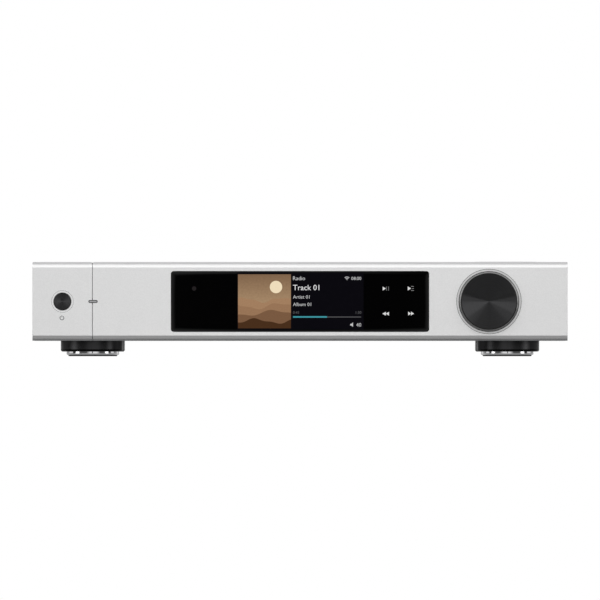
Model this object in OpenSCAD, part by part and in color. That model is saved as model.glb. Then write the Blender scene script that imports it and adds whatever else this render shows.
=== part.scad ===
// Network music streamer: a wide, low aluminium case on four round feet. The thick front is split by
// an upright seam into a main panel, with a glass display and a volume knob, and an end panel with the
// standby button. A partition at the seam parts the power supply from the audio boards.
// X points right, Y to the rear and Z up. The origin is on the ground, under the middle of the object.

/* [Case] */
// Width of the case
case_w = 430; // [410:1:460]
// Depth from the front face to the rear face
case_d = 300; // [280:1:340]
// Height of the flat part of the front face
face_h = 54.7; // [53:0.1:62]
// Bevel along the top and bottom of the front face
edge_bevel = 2.6; // [1.5:0.1:3.5]
// Bevel on the other outside edges
fine_bevel = 0.5; // [0.2:0.1:0.8]
// Thickness of the front panels
front_t = 10; // [9:0.5:14]
// Thickness of the plate that carries the front panels
subframe_t = 2; // [1.6:0.1:3]
// Thickness of the top cover
top_t = 1.8; // [1.4:0.1:3]
// Thickness of the bottom plate
bottom_t = 1.5; // [1.5:0.1:3]
// Thickness of the side panels
side_t = 6; // [4:0.5:7]
// Thickness of the rear panel
rear_t = 2.5; // [2:0.1:4]
// Width of the screw rails inside the side panels
rail_w = 10; // [8:0.5:11]
// Height of the screw rails
rail_h = 8; // [7:0.5:9]
// Height of the lips of the cover and the bottom plate
lip_h = 8; // [7:0.5:9]
// Thickness of the lips
lip_t = 1.8; // [1.2:0.1:2.5]

/* [Seam] */
// Width of the left bay, from the side of the case to the seam
bay_w = 48.2; // [46:0.1:54]
// Gap between the two front panels
seam_gap = 0.5; // [0.4:0.1:1]
// Bevel of each panel along the seam
seam_bevel = 0.5; // [0.2:0.1:0.8]
// Half the width of the groove that carries the seam over the cover
groove_w = 1; // [0.6:0.1:1.5]
// Depth of that groove
groove_depth = 0.9; // [0.5:0.1:1.1]

/* [Display] */
// Width of the glass
glass_w = 207.4; // [196:0.1:215]
// Height of the glass
glass_h = 48.7; // [47:0.1:50]
// Thickness of the glass
glass_t = 2; // [1.5:0.1:3]
// Corner radius of the glass
glass_r = 2.2; // [1.5:0.1:3]
// Width of the sloping rim of the glass
glass_rim = 4; // [2:0.1:5]
// How far the rim drops
glass_drop = 0.3; // [0.2:0.1:0.8]
// Width of the lit screen
screen_w = 101; // [94:0.5:104]
// Height of the lit screen
screen_h = 44.5; // [40:0.5:45]
// Height of the upper touch keys and the infrared eye over the middle
key_rise = 10.2; // [8:0.1:12]
// Distance of the infrared eye from the left edge of the glass
eye_in = 18.5; // [15:0.1:24]
// Distance of the middle of the touch keys from the right edge of the glass
keys_in = 24.7; // [23:0.1:28]
// Width of the touch key board
keys_w = 34; // [30:0.5:36]

/* [Volume knob] */
// Diameter of the knob
knob_d = 47.5; // [42:0.1:48]
// How far the knob stands out of the front face
knob_proud = 15; // [10:0.5:20]
// Distance of the knob from the right side of the case
knob_in = 63.2; // [60:0.1:66]
// Bevel round the face of the knob
knob_bevel = 1.2; // [0.6:0.1:2]
// Gap between the knob and its hole
knob_gap = 0.6; // [0.4:0.1:1]
// Width of the ring sunk round the hole
knob_ring = 1.5; // [0.8:0.1:1.6]
// Width of the fine line cut round that ring
knob_line = 0.3; // [0.2:0.05:0.5]
// Depth of the rings round the knob and the standby button
ring_sunk = 0.3; // [0.2:0.1:0.6]
// Depth of the fine lines round those rings
line_deep = 0.8; // [0.7:0.1:1.2]
// Travel when the knob is pressed
knob_travel = 0.5; // [0.3:0.1:0.7]

/* [Standby button] */
// Diameter of the button
standby_d = 13.9; // [11:0.1:16]
// How far the button stands out of the front face
standby_proud = 1.2; // [0.8:0.1:2]
// Gap between the button and its hole
standby_gap = 0.3; // [0.3:0.05:0.5]
// Width of the ring sunk round the hole
standby_ring = 1.45; // [0.8:0.05:2]
// Width of the fine line cut round that ring
standby_line = 0.15; // [0.1:0.05:0.3]
// Travel when the button is pressed
standby_travel = 0.6; // [0.3:0.1:0.8]

/* [Status light] */
// Width of the light across the seam
light_w = 7.5; // [6:0.1:10]
// Height of the light
light_h = 2.4; // [2:0.05:4]
// Gap between the light and its slot
light_gap = 0.3; // [0.15:0.05:0.4]
// How far the middle of the light lies to the right of the seam
light_shift = 0.5; // [-1:0.1:1]

/* [Feet] */
// Diameter of a foot
foot_d = 50.2; // [44:0.1:56]
// Height of the dark shell
foot_shell_h = 8.8; // [7:0.1:12]
// Radius of the lower edge of the shell
foot_round = 1.6; // [0.8:0.1:2.5]
// Diameter of the polished ring
foot_ring_d = 41.4; // [40.5:0.1:46]
// Radius of the lower edge of the ring
foot_ring_round = 1.4; // [0.8:0.1:2]
// Height of the ring
foot_ring_h = 2.7; // [2.5:0.1:5]
// Diameter of the pad
foot_pad_d = 38; // [30:0.5:38]
// How far the pad stands out of the ring
foot_pad_h = 1; // [0.6:0.1:2]
// Distance from the side of the case to the middle of a foot
foot_in = 47.5; // [44:0.1:54]
// Distance from the front or rear face to the middle of a foot
foot_back = 45; // [38:0.5:56]

/* [Antenna cover] */
// Diameter of the cover
antenna_d = 53.8; // [48:0.1:58]
// How far it stands on the top
antenna_proud = 0.6; // [0.4:0.1:2]
// Distance from the right side of the case to its middle
antenna_in = 48.7; // [44:0.1:56]
// Distance from the front face to its middle
antenna_back = 120; // [100:1:160]

/* [Rear sockets] */
// How far the round audio jacks stand out of the rear panel
jack_proud = 9.5; // [9:0.1:12]
// Distance of the left balanced jack from the right side of the case
balanced_left_in = 33; // [26:1:40]
// Distance of the right balanced jack
balanced_right_in = 69; // [62:1:80]
// Distance of the left line jack
line_left_in = 104; // [99:1:110]
// Distance of the right line jack
line_right_in = 126; // [118:1:135]
// Distance of the coaxial jack
coax_in = 176; // [173:1:184]
// Distance of the optical jack
optical_in = 207; // [200:1:214]
// Distance of the pair of USB sockets
usb_in = 252; // [240:1:262]
// Distance of the network socket
lan_in = 297; // [285:1:305]

/* [Boards] */
// Height of the boards over the bottom plate
standoff_h = 10; // [9:0.5:12]
// Thickness of the boards
board_t = 1.6; // [1.2:0.1:2]
// Depth of the streamer board
streamer_d = 130; // [110:1:150]
// Distance of the streamer board's right side from the right side of the case
streamer_right_in = 158; // [156:1:161]
// Distance of its left side
streamer_left_in = 330; // [320:1:345]
// Depth of the converter board
converter_d = 110; // [90:1:140]
// Distance of the converter board's left side from the right side of the case
converter_in = 152; // [148:1:155]
// Depth of the power board
power_d = 150; // [130:1:155]

/* [Hidden] */
$fn = 96;
corners = ["front_left", "front_right", "rear_left", "rear_right"];

// Clearances: a cut runs past the face by over, parts that stay put have fit round them,
// and shafts and pins run with run_fit
over = 1;
fit = 0.15;
run_fit = 0.05;

// Planes of the case
x_left = -case_w / 2;
x_right = case_w / 2;
y_front = -(knob_proud + case_d + jack_proud) / 2 + knob_proud;
y_inside = y_front + front_t;
y_sub = y_inside + subframe_t;
y_rear = y_front + case_d;
y_back = y_rear - rear_t;
z_case = foot_pad_h + foot_ring_h + foot_shell_h;
z_low = z_case + bottom_t;
z_high = z_low + face_h + 2 * edge_bevel;
z_top = z_high + top_t;
z_mid = (z_low + z_high) / 2;
x_seam = x_left + bay_w;
x_light = x_seam + light_shift;

// Places on the front
x_standby = x_left + bay_w / 2;
x_knob = x_right - knob_in;

// Screws with a flat head, a round head, and the larger ones of the feet
screw_r = 1.4;
flat_head_r = 2.7;
flat_head_h = 1.3;
round_head_r = 2.6;
round_head_h = 1.8;
tip_room = 0.5;
screw_tail = 1.5;
hole_room = 0.25;
foot_screw_r = 1.95;
foot_head_r = 3.8;
foot_head_h = 2.6;

// Feet
foot_xs = [-1, 1, -1, 1] * (x_right - foot_in);
foot_ys = [y_front + foot_back, y_front + foot_back, y_rear - foot_back, y_rear - foot_back];
pad_sunk = 0.8;
pad_edge = 0.5;
spigot_r = 14;
spigot_h = 3;
foot_web = 2.2;
boss_r = 4;
boss_h = 4;

// Rails and their screws
rail_x = x_right - side_t - rail_w / 2;
rail_zs = [z_low + rail_h / 2, z_high - rail_h / 2];
rail_screw_l = 9;
bottom_screw_room = 2;
bottom_screw_l = bottom_t + rail_h - bottom_screw_room;
bottom_ys = [y_front + foot_back, (y_front + y_rear) / 2, y_rear - foot_back];

// Partition between the power bay and the audio bay, which clears the feet's bosses
partition_t = 1.2;
partition_flange = 10;
partition_room = 1.5;
partition_x = max(x_seam, foot_xs[0]) + boss_r + partition_t / 2 + partition_room;
partition_back = 12;
partition_y0 = y_sub + partition_back;
partition_screw_l = bottom_t + partition_t + screw_tail;
partition_ys = [foot_ys[0] + foot_d, (foot_ys[0] + foot_ys[2]) / 2, foot_ys[2] - foot_d];

// Lips of the cover and the bottom plate, in the audio bay
lip_room = 2;
lip_screws = 3;
lip_x0 = partition_x + partition_flange + lip_room;
lip_x1 = x_right - side_t - rail_w - lip_room;
lip_xs = [for (i = [1 : lip_screws]) lip_x0 + (i - 1 / 2) * (lip_x1 - lip_x0) / lip_screws];
lip_screw_l = rear_t + lip_t + screw_tail;
lip_zs = [z_low + lip_h / 2, z_high - lip_h / 2];

// Screws that hold the front panels on the subframe
front_screw_room = 1;
front_screw_rise = z_high - lip_h - z_mid - round_head_r - front_screw_room;
front_screw_l = 6;
front_screw_zs = [z_mid - front_screw_rise, z_mid + front_screw_rise];
front_screw_side = side_t + rail_w + round_head_r + front_screw_room;
front_screw_seam = 7.5;
front_screw_glass = 8;
front_screw_xs = [
  x_left + front_screw_side,
  x_seam - front_screw_seam,
  partition_x + front_screw_seam,
  -glass_w / 2 - front_screw_glass,
  glass_w / 2 + front_screw_glass,
  x_right - front_screw_side
];

// Display
glass_ledge = 4;
frame_lip = 1.2;
frame_w = glass_w - 2 * glass_ledge;
frame_h = glass_h + 2 * frame_lip;
frame_r = 1.5;
y_glass = y_front + glass_t;
module_side = 2.5;
module_rim = 0.6;
module_h = glass_h - 2 * module_rim;
module_t = 4.5;
screen_sunk = 0.3;
plug_w = 24;
plug_h = 4;
plug_drop = 10;
plug_d = 2;
plug_room = 1;
keys_x = glass_w / 2 - keys_in;
keys_h = 38;
keys_chip = 7;
keys_chip_t = 1.4;
eye_x = eye_in - glass_w / 2;
eye_w = 6;
eye_h = 7;
eye_t = 3.5;
eye_r = 1.8;

// Encoder: a body behind the subframe, a threaded bush through it and a nut in front
encoder_w = 14;
encoder_depth = 9;
bush_r = 3.5;
bush_l = 5.5;
nut_w = 10;
nut_h = 2;
shaft_r = 3;
shaft_in = 4;
plunger_t = 1.2;
knob_wall = 3.4;
knob_roof = 3.5;
knob_sunk = 6;
hub_r = 6;
hub_clear = 0.6;
shaft_seat = 4;

// Standby button, its switch and the light behind the seam
flange_w = 1.4;
flange_t = 1;
flange_room = 0.1;
pocket_depth = 3;
stem_r = 1.6;
switch_w = 6.2;
switch_t = 3.4;
stem_in = 1.4;
standby_gap_y = 6;
standby_board_h = 18;
standby_side = 12;
lead_plug_w = 10;
lead_plug_h = 5;
lead_plug_d = 3;
standby_plug_drop = (standby_board_h - lead_plug_h) / 2 - fit;
light_sunk = 0.25;
light_flange = 1.5;
light_pipe_step = 0.3;
light_pipe_w = light_w - 2 * light_pipe_step;
light_pipe_h = light_h - 2 * light_pipe_step;
led_w = 3.2;
led_h = 1.6;
led_t = 1.2;
led_gap = 0.2;

// Boards
z_board_low = z_low + standoff_h;
z_board = z_board_low + board_t;
board_gap = 0.5;
y_boards = y_back - board_gap;
standoff_r = 2.8;
board_inset = 6;
board_screw_l = 5;
board_room = 1;
power_x0 = x_left + side_t + rail_w + board_room;
power_x1 = partition_x - partition_t / 2 - 2 * board_room;
power_x = (power_x0 + power_x1) / 2;
power_y1 = foot_ys[2] - boss_r - standoff_r - board_room + board_inset;
power_y0 = power_y1 - power_d;
streamer_x0 = x_right - streamer_left_in;
streamer_x1 = x_right - streamer_right_in;
streamer_y0 = y_boards - streamer_d;
converter_x0 = x_right - converter_in;
converter_x1 = x_right - side_t - rail_w - board_room;
converter_y0 = y_boards - converter_d;
boards = [
  [power_x0, power_x1, power_y0, power_y1],
  [streamer_x0, streamer_x1, streamer_y0, y_boards],
  [converter_x0, converter_x1, converter_y0, y_boards]
];
header_w = 16;
header_d = 7;
header_h = 8;
chip_w = 20;
chip_t = 2;
chip_back = 55;
chip_y = streamer_y0 + chip_back;
chip_x = (streamer_x0 + streamer_x1) / 2;
sink_w = 40;
sink_base = 3;
fin_h = 10;
fin_t = 1.2;
fin_pitch = 4.3;
core_w = 14;
core_d = 30;
core_h = 26;
coil_w = 28;
coil_d = 20;
coil_h = 18;
lead_y = 2;
lead_plug_y = lead_y + lead_plug_d / 2;
small_can_r = 4;
small_can_h = 12;
small_can_pitch = 12;
can_r = 8;
can_h = 30;
can_pitch = 19;
small_chip = 8;
memory_d = 12;
shield_w = 34;
shield_h = 5;
socket_space = 34;
filter_y = power_y1 - header_w - header_d;
transformer_y = (power_y0 + socket_space + can_pitch + can_r + filter_y - header_w / 2) / 2;

// Mains inlet with its rocker switch
inlet_w = 27;
inlet_h = 40;
inlet_depth = 24;
inlet_wall = 3;
inlet_rim = 1.5;
inlet_rim_t = 2;
inlet_r = 2.5;
inlet_x = (x_left + side_t + partition_x) / 2;
plug_hole_w = 24.2;
plug_hole_h = 16.4;
plug_hole_cut = 4.5;
plug_hole_depth = 17;
inlet_z = z_mid - inlet_h / 2 + inlet_wall + plug_hole_h / 2;
blade_w = 2;
blade_h = 4;
blade_sunk = 1.5;
blade_pitch = 7;
blade_rise = 2;
rocker_w = 19;
rocker_h = 11.6;
rocker_room = 0.9;
rocker_pin_r = 1.2;
rocker_pin_l = 0.8;
rocker_tilt = 8;
rocker_out = 3.4;
rocker_dip = 2;
rocker_back = 2.5;
rocker_well = 6;
rocker_z = z_mid + inlet_h / 2 - inlet_wall - rocker_h / 2 - rocker_room;
rocker_set = 0.2;
rocker_y = y_rear + rocker_set;

// Sockets on the boards
lan_w = 16;
lan_h = 13.5;
lan_depth = 20;
lan_hole_w = 11.9;
lan_hole_h = 8;
lan_hole_depth = 13;
lan_floor = 3.8;
lan_key_w = 6;
lan_key_h = 2;
lan_pins = 8;
lan_pin_pitch = 1.02;
lan_pin_w = 0.45;
lan_pin_h = 0.6;
usb_w = 14.6;
usb_h = 16;
usb_depth = 17;
usb_hole_w = 12.6;
usb_hole_h = 5.2;
usb_hole_depth = 11;
usb_floor = 2;
usb_pitch = 6.9;
usb_tongue_w = 11.2;
usb_tongue_h = 1.9;
usb_tongue_sunk = 1;
optical_w = 14;
optical_h = 11.5;
optical_depth = 18;
optical_hole_w = 9.8;
optical_hole_h = 8.6;
optical_hole_depth = 14;
optical_floor = 1.2;
ferrule_r = 1.6;
ferrule_l = 1.5;
shutter_w = 9.3;
shutter_l = 7.1;
shutter_t = 0.9;
shutter_pin_r = 0.6;
shutter_pin_l = 0.7;
shutter_drop = 1;
shutter_sunk = 4;
shutter_y = y_rear - shutter_sunk;
shutter_z = z_board + optical_floor + optical_hole_h - shutter_drop;
socket_proud = 0.5;

// Round audio jacks
balanced_in = [balanced_left_in, balanced_right_in];
line_in = [line_left_in, line_right_in];
jack_rise = 10;
jack_z = z_board + jack_rise;
jack_block_w = 11;
jack_block_d = 10;
jack_block_h = 16;
collar_r = 5.2;
collar_proud = 1.2;
barrel_r = 4.15;
barrel_wall = 0.75;
core_sunk = 0.6;
bore_r = 1.65;
bore_l = 7;
balanced_rise = 17;
balanced_z = z_board + balanced_rise;
balanced_w = 26;
balanced_h = 31;
balanced_t = 2;
balanced_r = 2;
shell_r = 11.8;
shell_depth = 16;
shell_hole_r = 9.4;
shell_hole_depth = 14;
contact_r = 1.2;
contact_circle = 4.7;
contact_sunk = 2;
contact_turns = [30, 150, 270];
tab_l = 4;
ear_x = 9.5;
ear_z = 12;
ear_screw_l = 6;

// Antenna
antenna_slope = 2.4;
antenna_step = 0.2;
antenna_spigot_r = 20;
antenna_board_w = 26;
antenna_board_d = 16;
antenna_board_t = 1.2;
antenna_x = x_right - antenna_in;
antenna_y = y_front + antenna_back;

// Cables: a path of points in a plane, and the outline of a band along it
ribbon_t = 0.4;
lead_t = 1;
harness_t = 1.6;
harness_w = 14;
harness_arch = 18;
harness_lift = 0.9;
bend_steps = 14;
slot_z = z_board + header_h + harness_lift;
slot_h = 2 * harness_arch;
function bend(a, b) = [
  for (i = [0 : bend_steps]) let (t = i / bend_steps)
    [a[0] + (b[0] - a[0]) * t, a[1] + (b[1] - a[1]) * (1 - cos(180 * t)) / 2]
];
function arch(a, b, rise) = [
  for (i = [0 : bend_steps]) let (t = i / bend_steps)
    [a[0] + (b[0] - a[0]) * t, a[1] + (b[1] - a[1]) * t + rise * sin(180 * t)]
];
function heading(p, i) =
  let (d = p[min(i + 1, len(p) - 1)] - p[max(i - 1, 0)]) d / norm(d);
function beside(p, i, h) = p[i] + h * [-heading(p, i)[1], heading(p, i)[0]];
function band(p, t) = concat(
  [for (i = [0 : len(p) - 1]) beside(p, i, t / 2)],
  [for (i = [len(p) - 1 : -1 : 0]) beside(p, i, -t / 2)]
);

// Shapes drawn in a plane and carried along X, Y or Z between two places
module along_x(x0, x1) {
  translate([x0, 0, 0])
    rotate([90, 0, 90])
      linear_extrude(x1 - x0)
        children();
}

module along_y(y0, y1) {
  translate([0, y1, 0])
    rotate([90, 0, 0])
      linear_extrude(y1 - y0)
        children();
}

module along_z(z0, z1) {
  translate([0, 0, z0])
    linear_extrude(z1 - z0)
      children();
}

module block(x0, x1, y0, y1, z0, z1) {
  translate([x0, y0, z0])
    cube([x1 - x0, y1 - y0, z1 - z0]);
}

// A block of width w round x and height h round z
module bar(x, w, y0, y1, z, h) {
  block(x - w / 2, x + w / 2, y0, y1, z - h / 2, z + h / 2);
}

// A disc or rod along Y
module rod_y(x, z, r, y0, y1) {
  translate([x, y1, z])
    rotate([90, 0, 0])
      cylinder(r = r, h = y1 - y0);
}

module rounded(w, h, r) {
  square([w - 2 * r, h], center = true);
  square([w, h - 2 * r], center = true);
  for (x = [-1, 1], y = [-1, 1])
    translate([x * (w / 2 - r), y * (h / 2 - r)])
      circle(r);
}

module pill(w, h) {
  square([w - h, h], center = true);
  for (x = [-1, 1])
    translate([x * (w - h) / 2, 0])
      circle(h / 2);
}

// Screws point along +Z from the plane under a round head, or from the face of a flat head
module flat_screw(l) {
  cylinder(r1 = flat_head_r, r2 = screw_r, h = flat_head_h);
  cylinder(r = screw_r, h = l);
}

module round_screw(l) {
  translate([0, 0, -round_head_h])
    cylinder(r = round_head_r, h = round_head_h);
  cylinder(r = screw_r, h = l);
}

// The space that a flat screw takes, with its tapped end
module flat_sink(l) {
  translate([0, 0, -over])
    cylinder(r = screw_r + fit, h = l + tip_room + over);
  cylinder(r1 = flat_head_r + fit, r2 = screw_r + fit, h = flat_head_h);
}

module tapped(l) {
  translate([0, 0, -over])
    cylinder(r = screw_r + run_fit, h = l + tip_room + over);
}

module cleared(l) {
  translate([0, 0, -over])
    cylinder(r = screw_r + hole_room, h = l + 2 * over);
}

// Places of the screws: into the rails from below, from the rear and from the front, into the
// partition from below, into the lips from the rear, and into the front panels from behind
module at_bottom_rail_screws() {
  for (x = [-rail_x, rail_x], y = bottom_ys)
    translate([x, y, z_case])
      children();
}

module at_partition_screws() {
  for (y = partition_ys)
    translate([partition_x + partition_flange / 2, y, z_case])
      children();
}

module at_rear_rail_screws() {
  for (x = [-rail_x, rail_x], z = rail_zs)
    translate([x, y_rear, z])
      rotate([90, 0, 0])
        children();
}

module at_front_rail_screws() {
  for (x = [-rail_x, rail_x], z = rail_zs)
    translate([x, y_inside, z])
      rotate([-90, 0, 0])
        children();
}

module at_lip_screws() {
  for (x = lip_xs, z = lip_zs)
    translate([x, y_rear, z])
      rotate([90, 0, 0])
        children();
}

module at_front_screws() {
  for (x = front_screw_xs, z = front_screw_zs)
    translate([x, y_sub, z])
      rotate([90, 0, 0])
        children();
}

module at_ear_screws() {
  for (d = balanced_in, s = [-1, 1])
    translate([x_right - d + s * ear_x, y_rear + balanced_t, balanced_z + s * ear_z])
      rotate([90, 0, 0])
        children();
}

module at_standby_screws() {
  for (s = [-1, 1])
    translate([x_standby + s * standby_side, y_sub + standby_gap_y + board_t, z_mid])
      rotate([90, 0, 0])
        children();
}

module at_standoffs() {
  for (b = boards, x = [b[0] + board_inset, b[1] - board_inset], y = [b[2] + board_inset, b[3] - board_inset])
    translate([x, y, z_low])
      children();
}

module at_feet() {
  for (i = [0 : 3])
    translate([foot_xs[i], foot_ys[i], 0])
      children();
}

// Front panels: one profile, with the bevels of the front face, carried along X and trimmed in plan
module front_blank(x0, x1, bevel0, bevel1) {
  intersection() {
    along_x(x0, x1)
      polygon([
        [y_front, z_low + edge_bevel],
        [y_front, z_high - edge_bevel],
        [y_front + edge_bevel, z_high],
        [y_inside, z_high],
        [y_inside, z_low],
        [y_front + edge_bevel, z_low]
      ]);
    along_z(z_low, z_high)
      polygon([
        [x0 + bevel0, y_front],
        [x1 - bevel1, y_front],
        [x1, y_front + bevel1],
        [x1, y_inside],
        [x0, y_inside],
        [x0, y_front + bevel0]
      ]);
  }
}

// A hole through the front with a shallow ring sunk round its mouth and a fine line round the ring
module ringed_hole(x, z, r, ring, line) {
  rod_y(x, z, r, y_front - over, y_inside + over);
  rod_y(x, z, r + ring, y_front - over, y_front + ring_sunk);
  difference() {
    rod_y(x, z, r + ring + line, y_front - over, y_front + line_deep);
    rod_y(x, z, r + ring, y_front - 2 * over, y_front + line_deep + over);
  }
}

module light_slot() {
  translate([0, 0, z_mid]) {
    along_y(y_front - over, y_inside + over)
      translate([x_light, 0])
        pill(light_w, light_h);
    along_y(y_inside - light_flange, y_inside + over)
      translate([x_light, 0])
        pill(light_w + 2 * light_flange, light_h + 2 * light_flange);
  }
}

module front_panel() {
  color("silver")
    difference() {
      front_blank(x_seam + seam_gap / 2, x_right, seam_bevel, fine_bevel);
      translate([0, 0, z_mid]) {
        along_y(y_front - over, y_glass)
          rounded(glass_w + 2 * fit, glass_h + 2 * fit, glass_r + fit);
        along_y(y_glass, y_inside + over)
          rounded(frame_w, frame_h, frame_r);
      }
      ringed_hole(x_knob, z_mid, knob_d / 2 + knob_gap, knob_ring, knob_line);
      light_slot();
      at_front_screws()
        tapped(front_screw_l);
    }
}

module front_end_panel() {
  color("silver")
    difference() {
      front_blank(x_left, x_seam - seam_gap / 2, fine_bevel, seam_bevel);
      ringed_hole(x_standby, z_mid, standby_d / 2 + standby_gap, standby_ring, standby_line);
      rod_y(x_standby, z_mid, standby_d / 2 + flange_w + 2 * standby_gap,
        y_inside - pocket_depth, y_inside + over);
      light_slot();
      at_front_screws()
        tapped(front_screw_l);
    }
}

// Plate behind the front panels, which joins them and carries the controls
module front_subframe() {
  color("dimgray")
    difference() {
      block(x_left + side_t, x_right - side_t, y_inside, y_sub, z_low, z_high);
      bar(0, plug_w + 2 * plug_room, y_inside - over, y_sub + over,
        z_mid - plug_drop, plug_h + 2 * plug_room);
      rod_y(x_knob, z_mid, bush_r + run_fit, y_inside - over, y_sub + over);
      rod_y(x_standby, z_mid, stem_r + hole_room, y_inside - over, y_sub + over);
      along_y(y_inside - over, y_sub + over)
        translate([x_light, z_mid])
          pill(light_pipe_w + 2 * fit, light_pipe_h + 2 * fit);
      at_front_screws()
        cleared(subframe_t);
      at_front_rail_screws()
        flat_sink(rail_screw_l);
    }
  color("dimgray")
    for (s = [-1, 1])
      difference() {
        rod_y(x_standby + s * standby_side, z_mid, standoff_r, y_sub, y_sub + standby_gap_y);
        at_standby_screws()
          tapped(board_screw_l);
      }
}

// Right side panel: a plate with two screw rails; the left one is its mirror image
module side_panel() {
  color("silver")
    difference() {
      union() {
        block(x_right - side_t, x_right, y_inside, y_rear, z_low, z_high);
        for (z = rail_zs)
          block(x_right - side_t - rail_w, x_right - side_t, y_sub, y_back, z - rail_h / 2, z + rail_h / 2);
      }
      at_bottom_rail_screws()
        tapped(bottom_screw_l);
      at_rear_rail_screws()
        tapped(rail_screw_l);
      at_front_rail_screws()
        tapped(rail_screw_l);
    }
}

module side_panel_left() {
  mirror([1, 0, 0])
    side_panel();
}

module side_panel_right() {
  side_panel();
}

// Top cover with the groove that carries the seam to the rear, and lips that hold it
module top_cover() {
  color("silver")
    difference() {
      union() {
        intersection() {
          along_y(y_front, y_rear)
            polygon([
              [x_left, z_high],
              [x_right, z_high],
              [x_right, z_top - fine_bevel],
              [x_right - fine_bevel, z_top],
              [x_seam + groove_w, z_top],
              [x_seam, z_top - groove_depth],
              [x_seam - groove_w, z_top],
              [x_left + fine_bevel, z_top],
              [x_left, z_top - fine_bevel]
            ]);
          along_x(x_left, x_right)
            polygon([
              [y_front + edge_bevel, z_high],
              [y_rear, z_high],
              [y_rear, z_top - fine_bevel],
              [y_rear - fine_bevel, z_top],
              [y_front + edge_bevel, z_top]
            ]);
        }
        for (y = [y_sub, y_back - lip_t])
          block(lip_x0, lip_x1, y, y + lip_t, z_high - lip_h, z_high);
      }
      translate([antenna_x, antenna_y, z_high - over])
        cylinder(r = antenna_spigot_r + fit, h = top_t + 2 * over);
      at_lip_screws()
        tapped(lip_screw_l);
      bar(x_seam, seam_gap, y_front, y_front + edge_bevel + groove_w, z_top, 2 * (top_t + over));
    }
}

module bottom_plate() {
  color("dimgray")
    difference() {
      union() {
        block(x_left, x_right, y_front + edge_bevel, y_rear, z_case, z_low);
        block(lip_x0, lip_x1, y_back - lip_t, y_back, z_low, z_low + lip_h);
        at_feet()
          translate([0, 0, z_low])
            cylinder(r = boss_r, h = boss_h);
      }
      at_feet()
        cylinder(r = foot_screw_r + run_fit, h = z_low + boss_h + over);
      at_bottom_rail_screws()
        flat_sink(bottom_screw_l);
      at_partition_screws()
        flat_sink(partition_screw_l);
      at_lip_screws()
        tapped(lip_screw_l);
      bar(x_seam, seam_gap, y_front, y_front + edge_bevel + groove_w, z_case, 2 * (bottom_t + over));
    }
}

// Holes of the rear panel, in the plane of the panel
module rear_holes() {
  translate([inlet_x, z_mid])
    square([inlet_w, inlet_h] + 2 * [fit, fit], center = true);
  translate([x_right - lan_in, z_board + lan_h / 2])
    square([lan_w, lan_h] + 2 * [fit, fit], center = true);
  translate([x_right - usb_in, z_board + usb_h / 2])
    square([usb_w, usb_h] + 2 * [fit, fit], center = true);
  translate([x_right - optical_in, z_board + optical_h / 2])
    square([optical_w, optical_h] + 2 * [fit, fit], center = true);
  for (d = concat([coax_in], line_in))
    translate([x_right - d, jack_z])
      circle(collar_r + fit);
  for (d = balanced_in)
    translate([x_right - d, balanced_z])
      circle(shell_r + fit);
}

module rear_panel() {
  color("silver")
    difference() {
      along_y(y_back, y_rear)
        difference() {
          translate([x_left + side_t, z_low])
            square([case_w - 2 * side_t, z_high - z_low]);
          rear_holes();
        }
      at_rear_rail_screws()
        cleared(rear_t);
      at_lip_screws()
        cleared(rear_t);
      at_ear_screws()
        tapped(ear_screw_l);
    }
}

module antenna_cover() {
  color("gainsboro")
    translate([antenna_x, antenna_y, 0])
      rotate_extrude()
        polygon([
          [0, z_high],
          [antenna_spigot_r, z_high],
          [antenna_spigot_r, z_top],
          [antenna_d / 2, z_top],
          [antenna_d / 2, z_top + antenna_step],
          [antenna_d / 2 - antenna_slope, z_top + antenna_proud],
          [0, z_top + antenna_proud]
        ]);
}

// Feet: a dark shell, a polished ring that plugs into it, and a pad that covers the screw
module foot_shell(i) {
  color("black")
    translate([foot_xs[i], foot_ys[i], foot_pad_h + foot_ring_h])
      difference() {
        rotate_extrude() {
          square([foot_d / 2 - foot_round, foot_shell_h]);
          translate([0, foot_round])
            square([foot_d / 2, foot_shell_h - foot_round]);
          translate([foot_d / 2 - foot_round, foot_round])
            circle(foot_round);
        }
        translate([0, 0, -over])
          cylinder(r = spigot_r + run_fit, h = spigot_h + over);
        cylinder(r = foot_screw_r + hole_room, h = foot_shell_h + over);
      }
}

module foot_ring(i) {
  color("gainsboro")
    translate([foot_xs[i], foot_ys[i], foot_pad_h])
      difference() {
        rotate_extrude() {
          square([foot_ring_d / 2 - foot_ring_round, foot_ring_h]);
          translate([0, foot_ring_round])
            square([foot_ring_d / 2, foot_ring_h - foot_ring_round]);
          intersection() {
            translate([foot_ring_d / 2 - foot_ring_round, foot_ring_round])
              circle(foot_ring_round);
            square([foot_ring_d / 2, foot_ring_round]);
          }
          square([spigot_r, foot_ring_h + spigot_h]);
        }
        translate([0, 0, -over])
          cylinder(r = foot_pad_d / 2 + run_fit, h = pad_sunk + over);
        cylinder(r = foot_head_r + hole_room, h = foot_ring_h + spigot_h - foot_web);
        cylinder(r = foot_screw_r + hole_room, h = foot_ring_h + spigot_h + over);
      }
}

module foot_pad(i) {
  color("black")
    translate([foot_xs[i], foot_ys[i], 0])
      rotate_extrude()
        polygon([
          [0, 0],
          [foot_pad_d / 2 - pad_edge, 0],
          [foot_pad_d / 2, pad_edge],
          [foot_pad_d / 2, foot_pad_h + pad_sunk],
          [0, foot_pad_h + pad_sunk]
        ]);
}

module foot_screws() {
  seat = foot_pad_h + foot_ring_h + spigot_h - foot_web;
  color("silver")
    at_feet()
      translate([0, 0, seat]) {
        translate([0, 0, -foot_head_h])
          cylinder(r = foot_head_r, h = foot_head_h);
        cylinder(r = foot_screw_r, h = z_low + boss_h - seat);
      }
}

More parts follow.
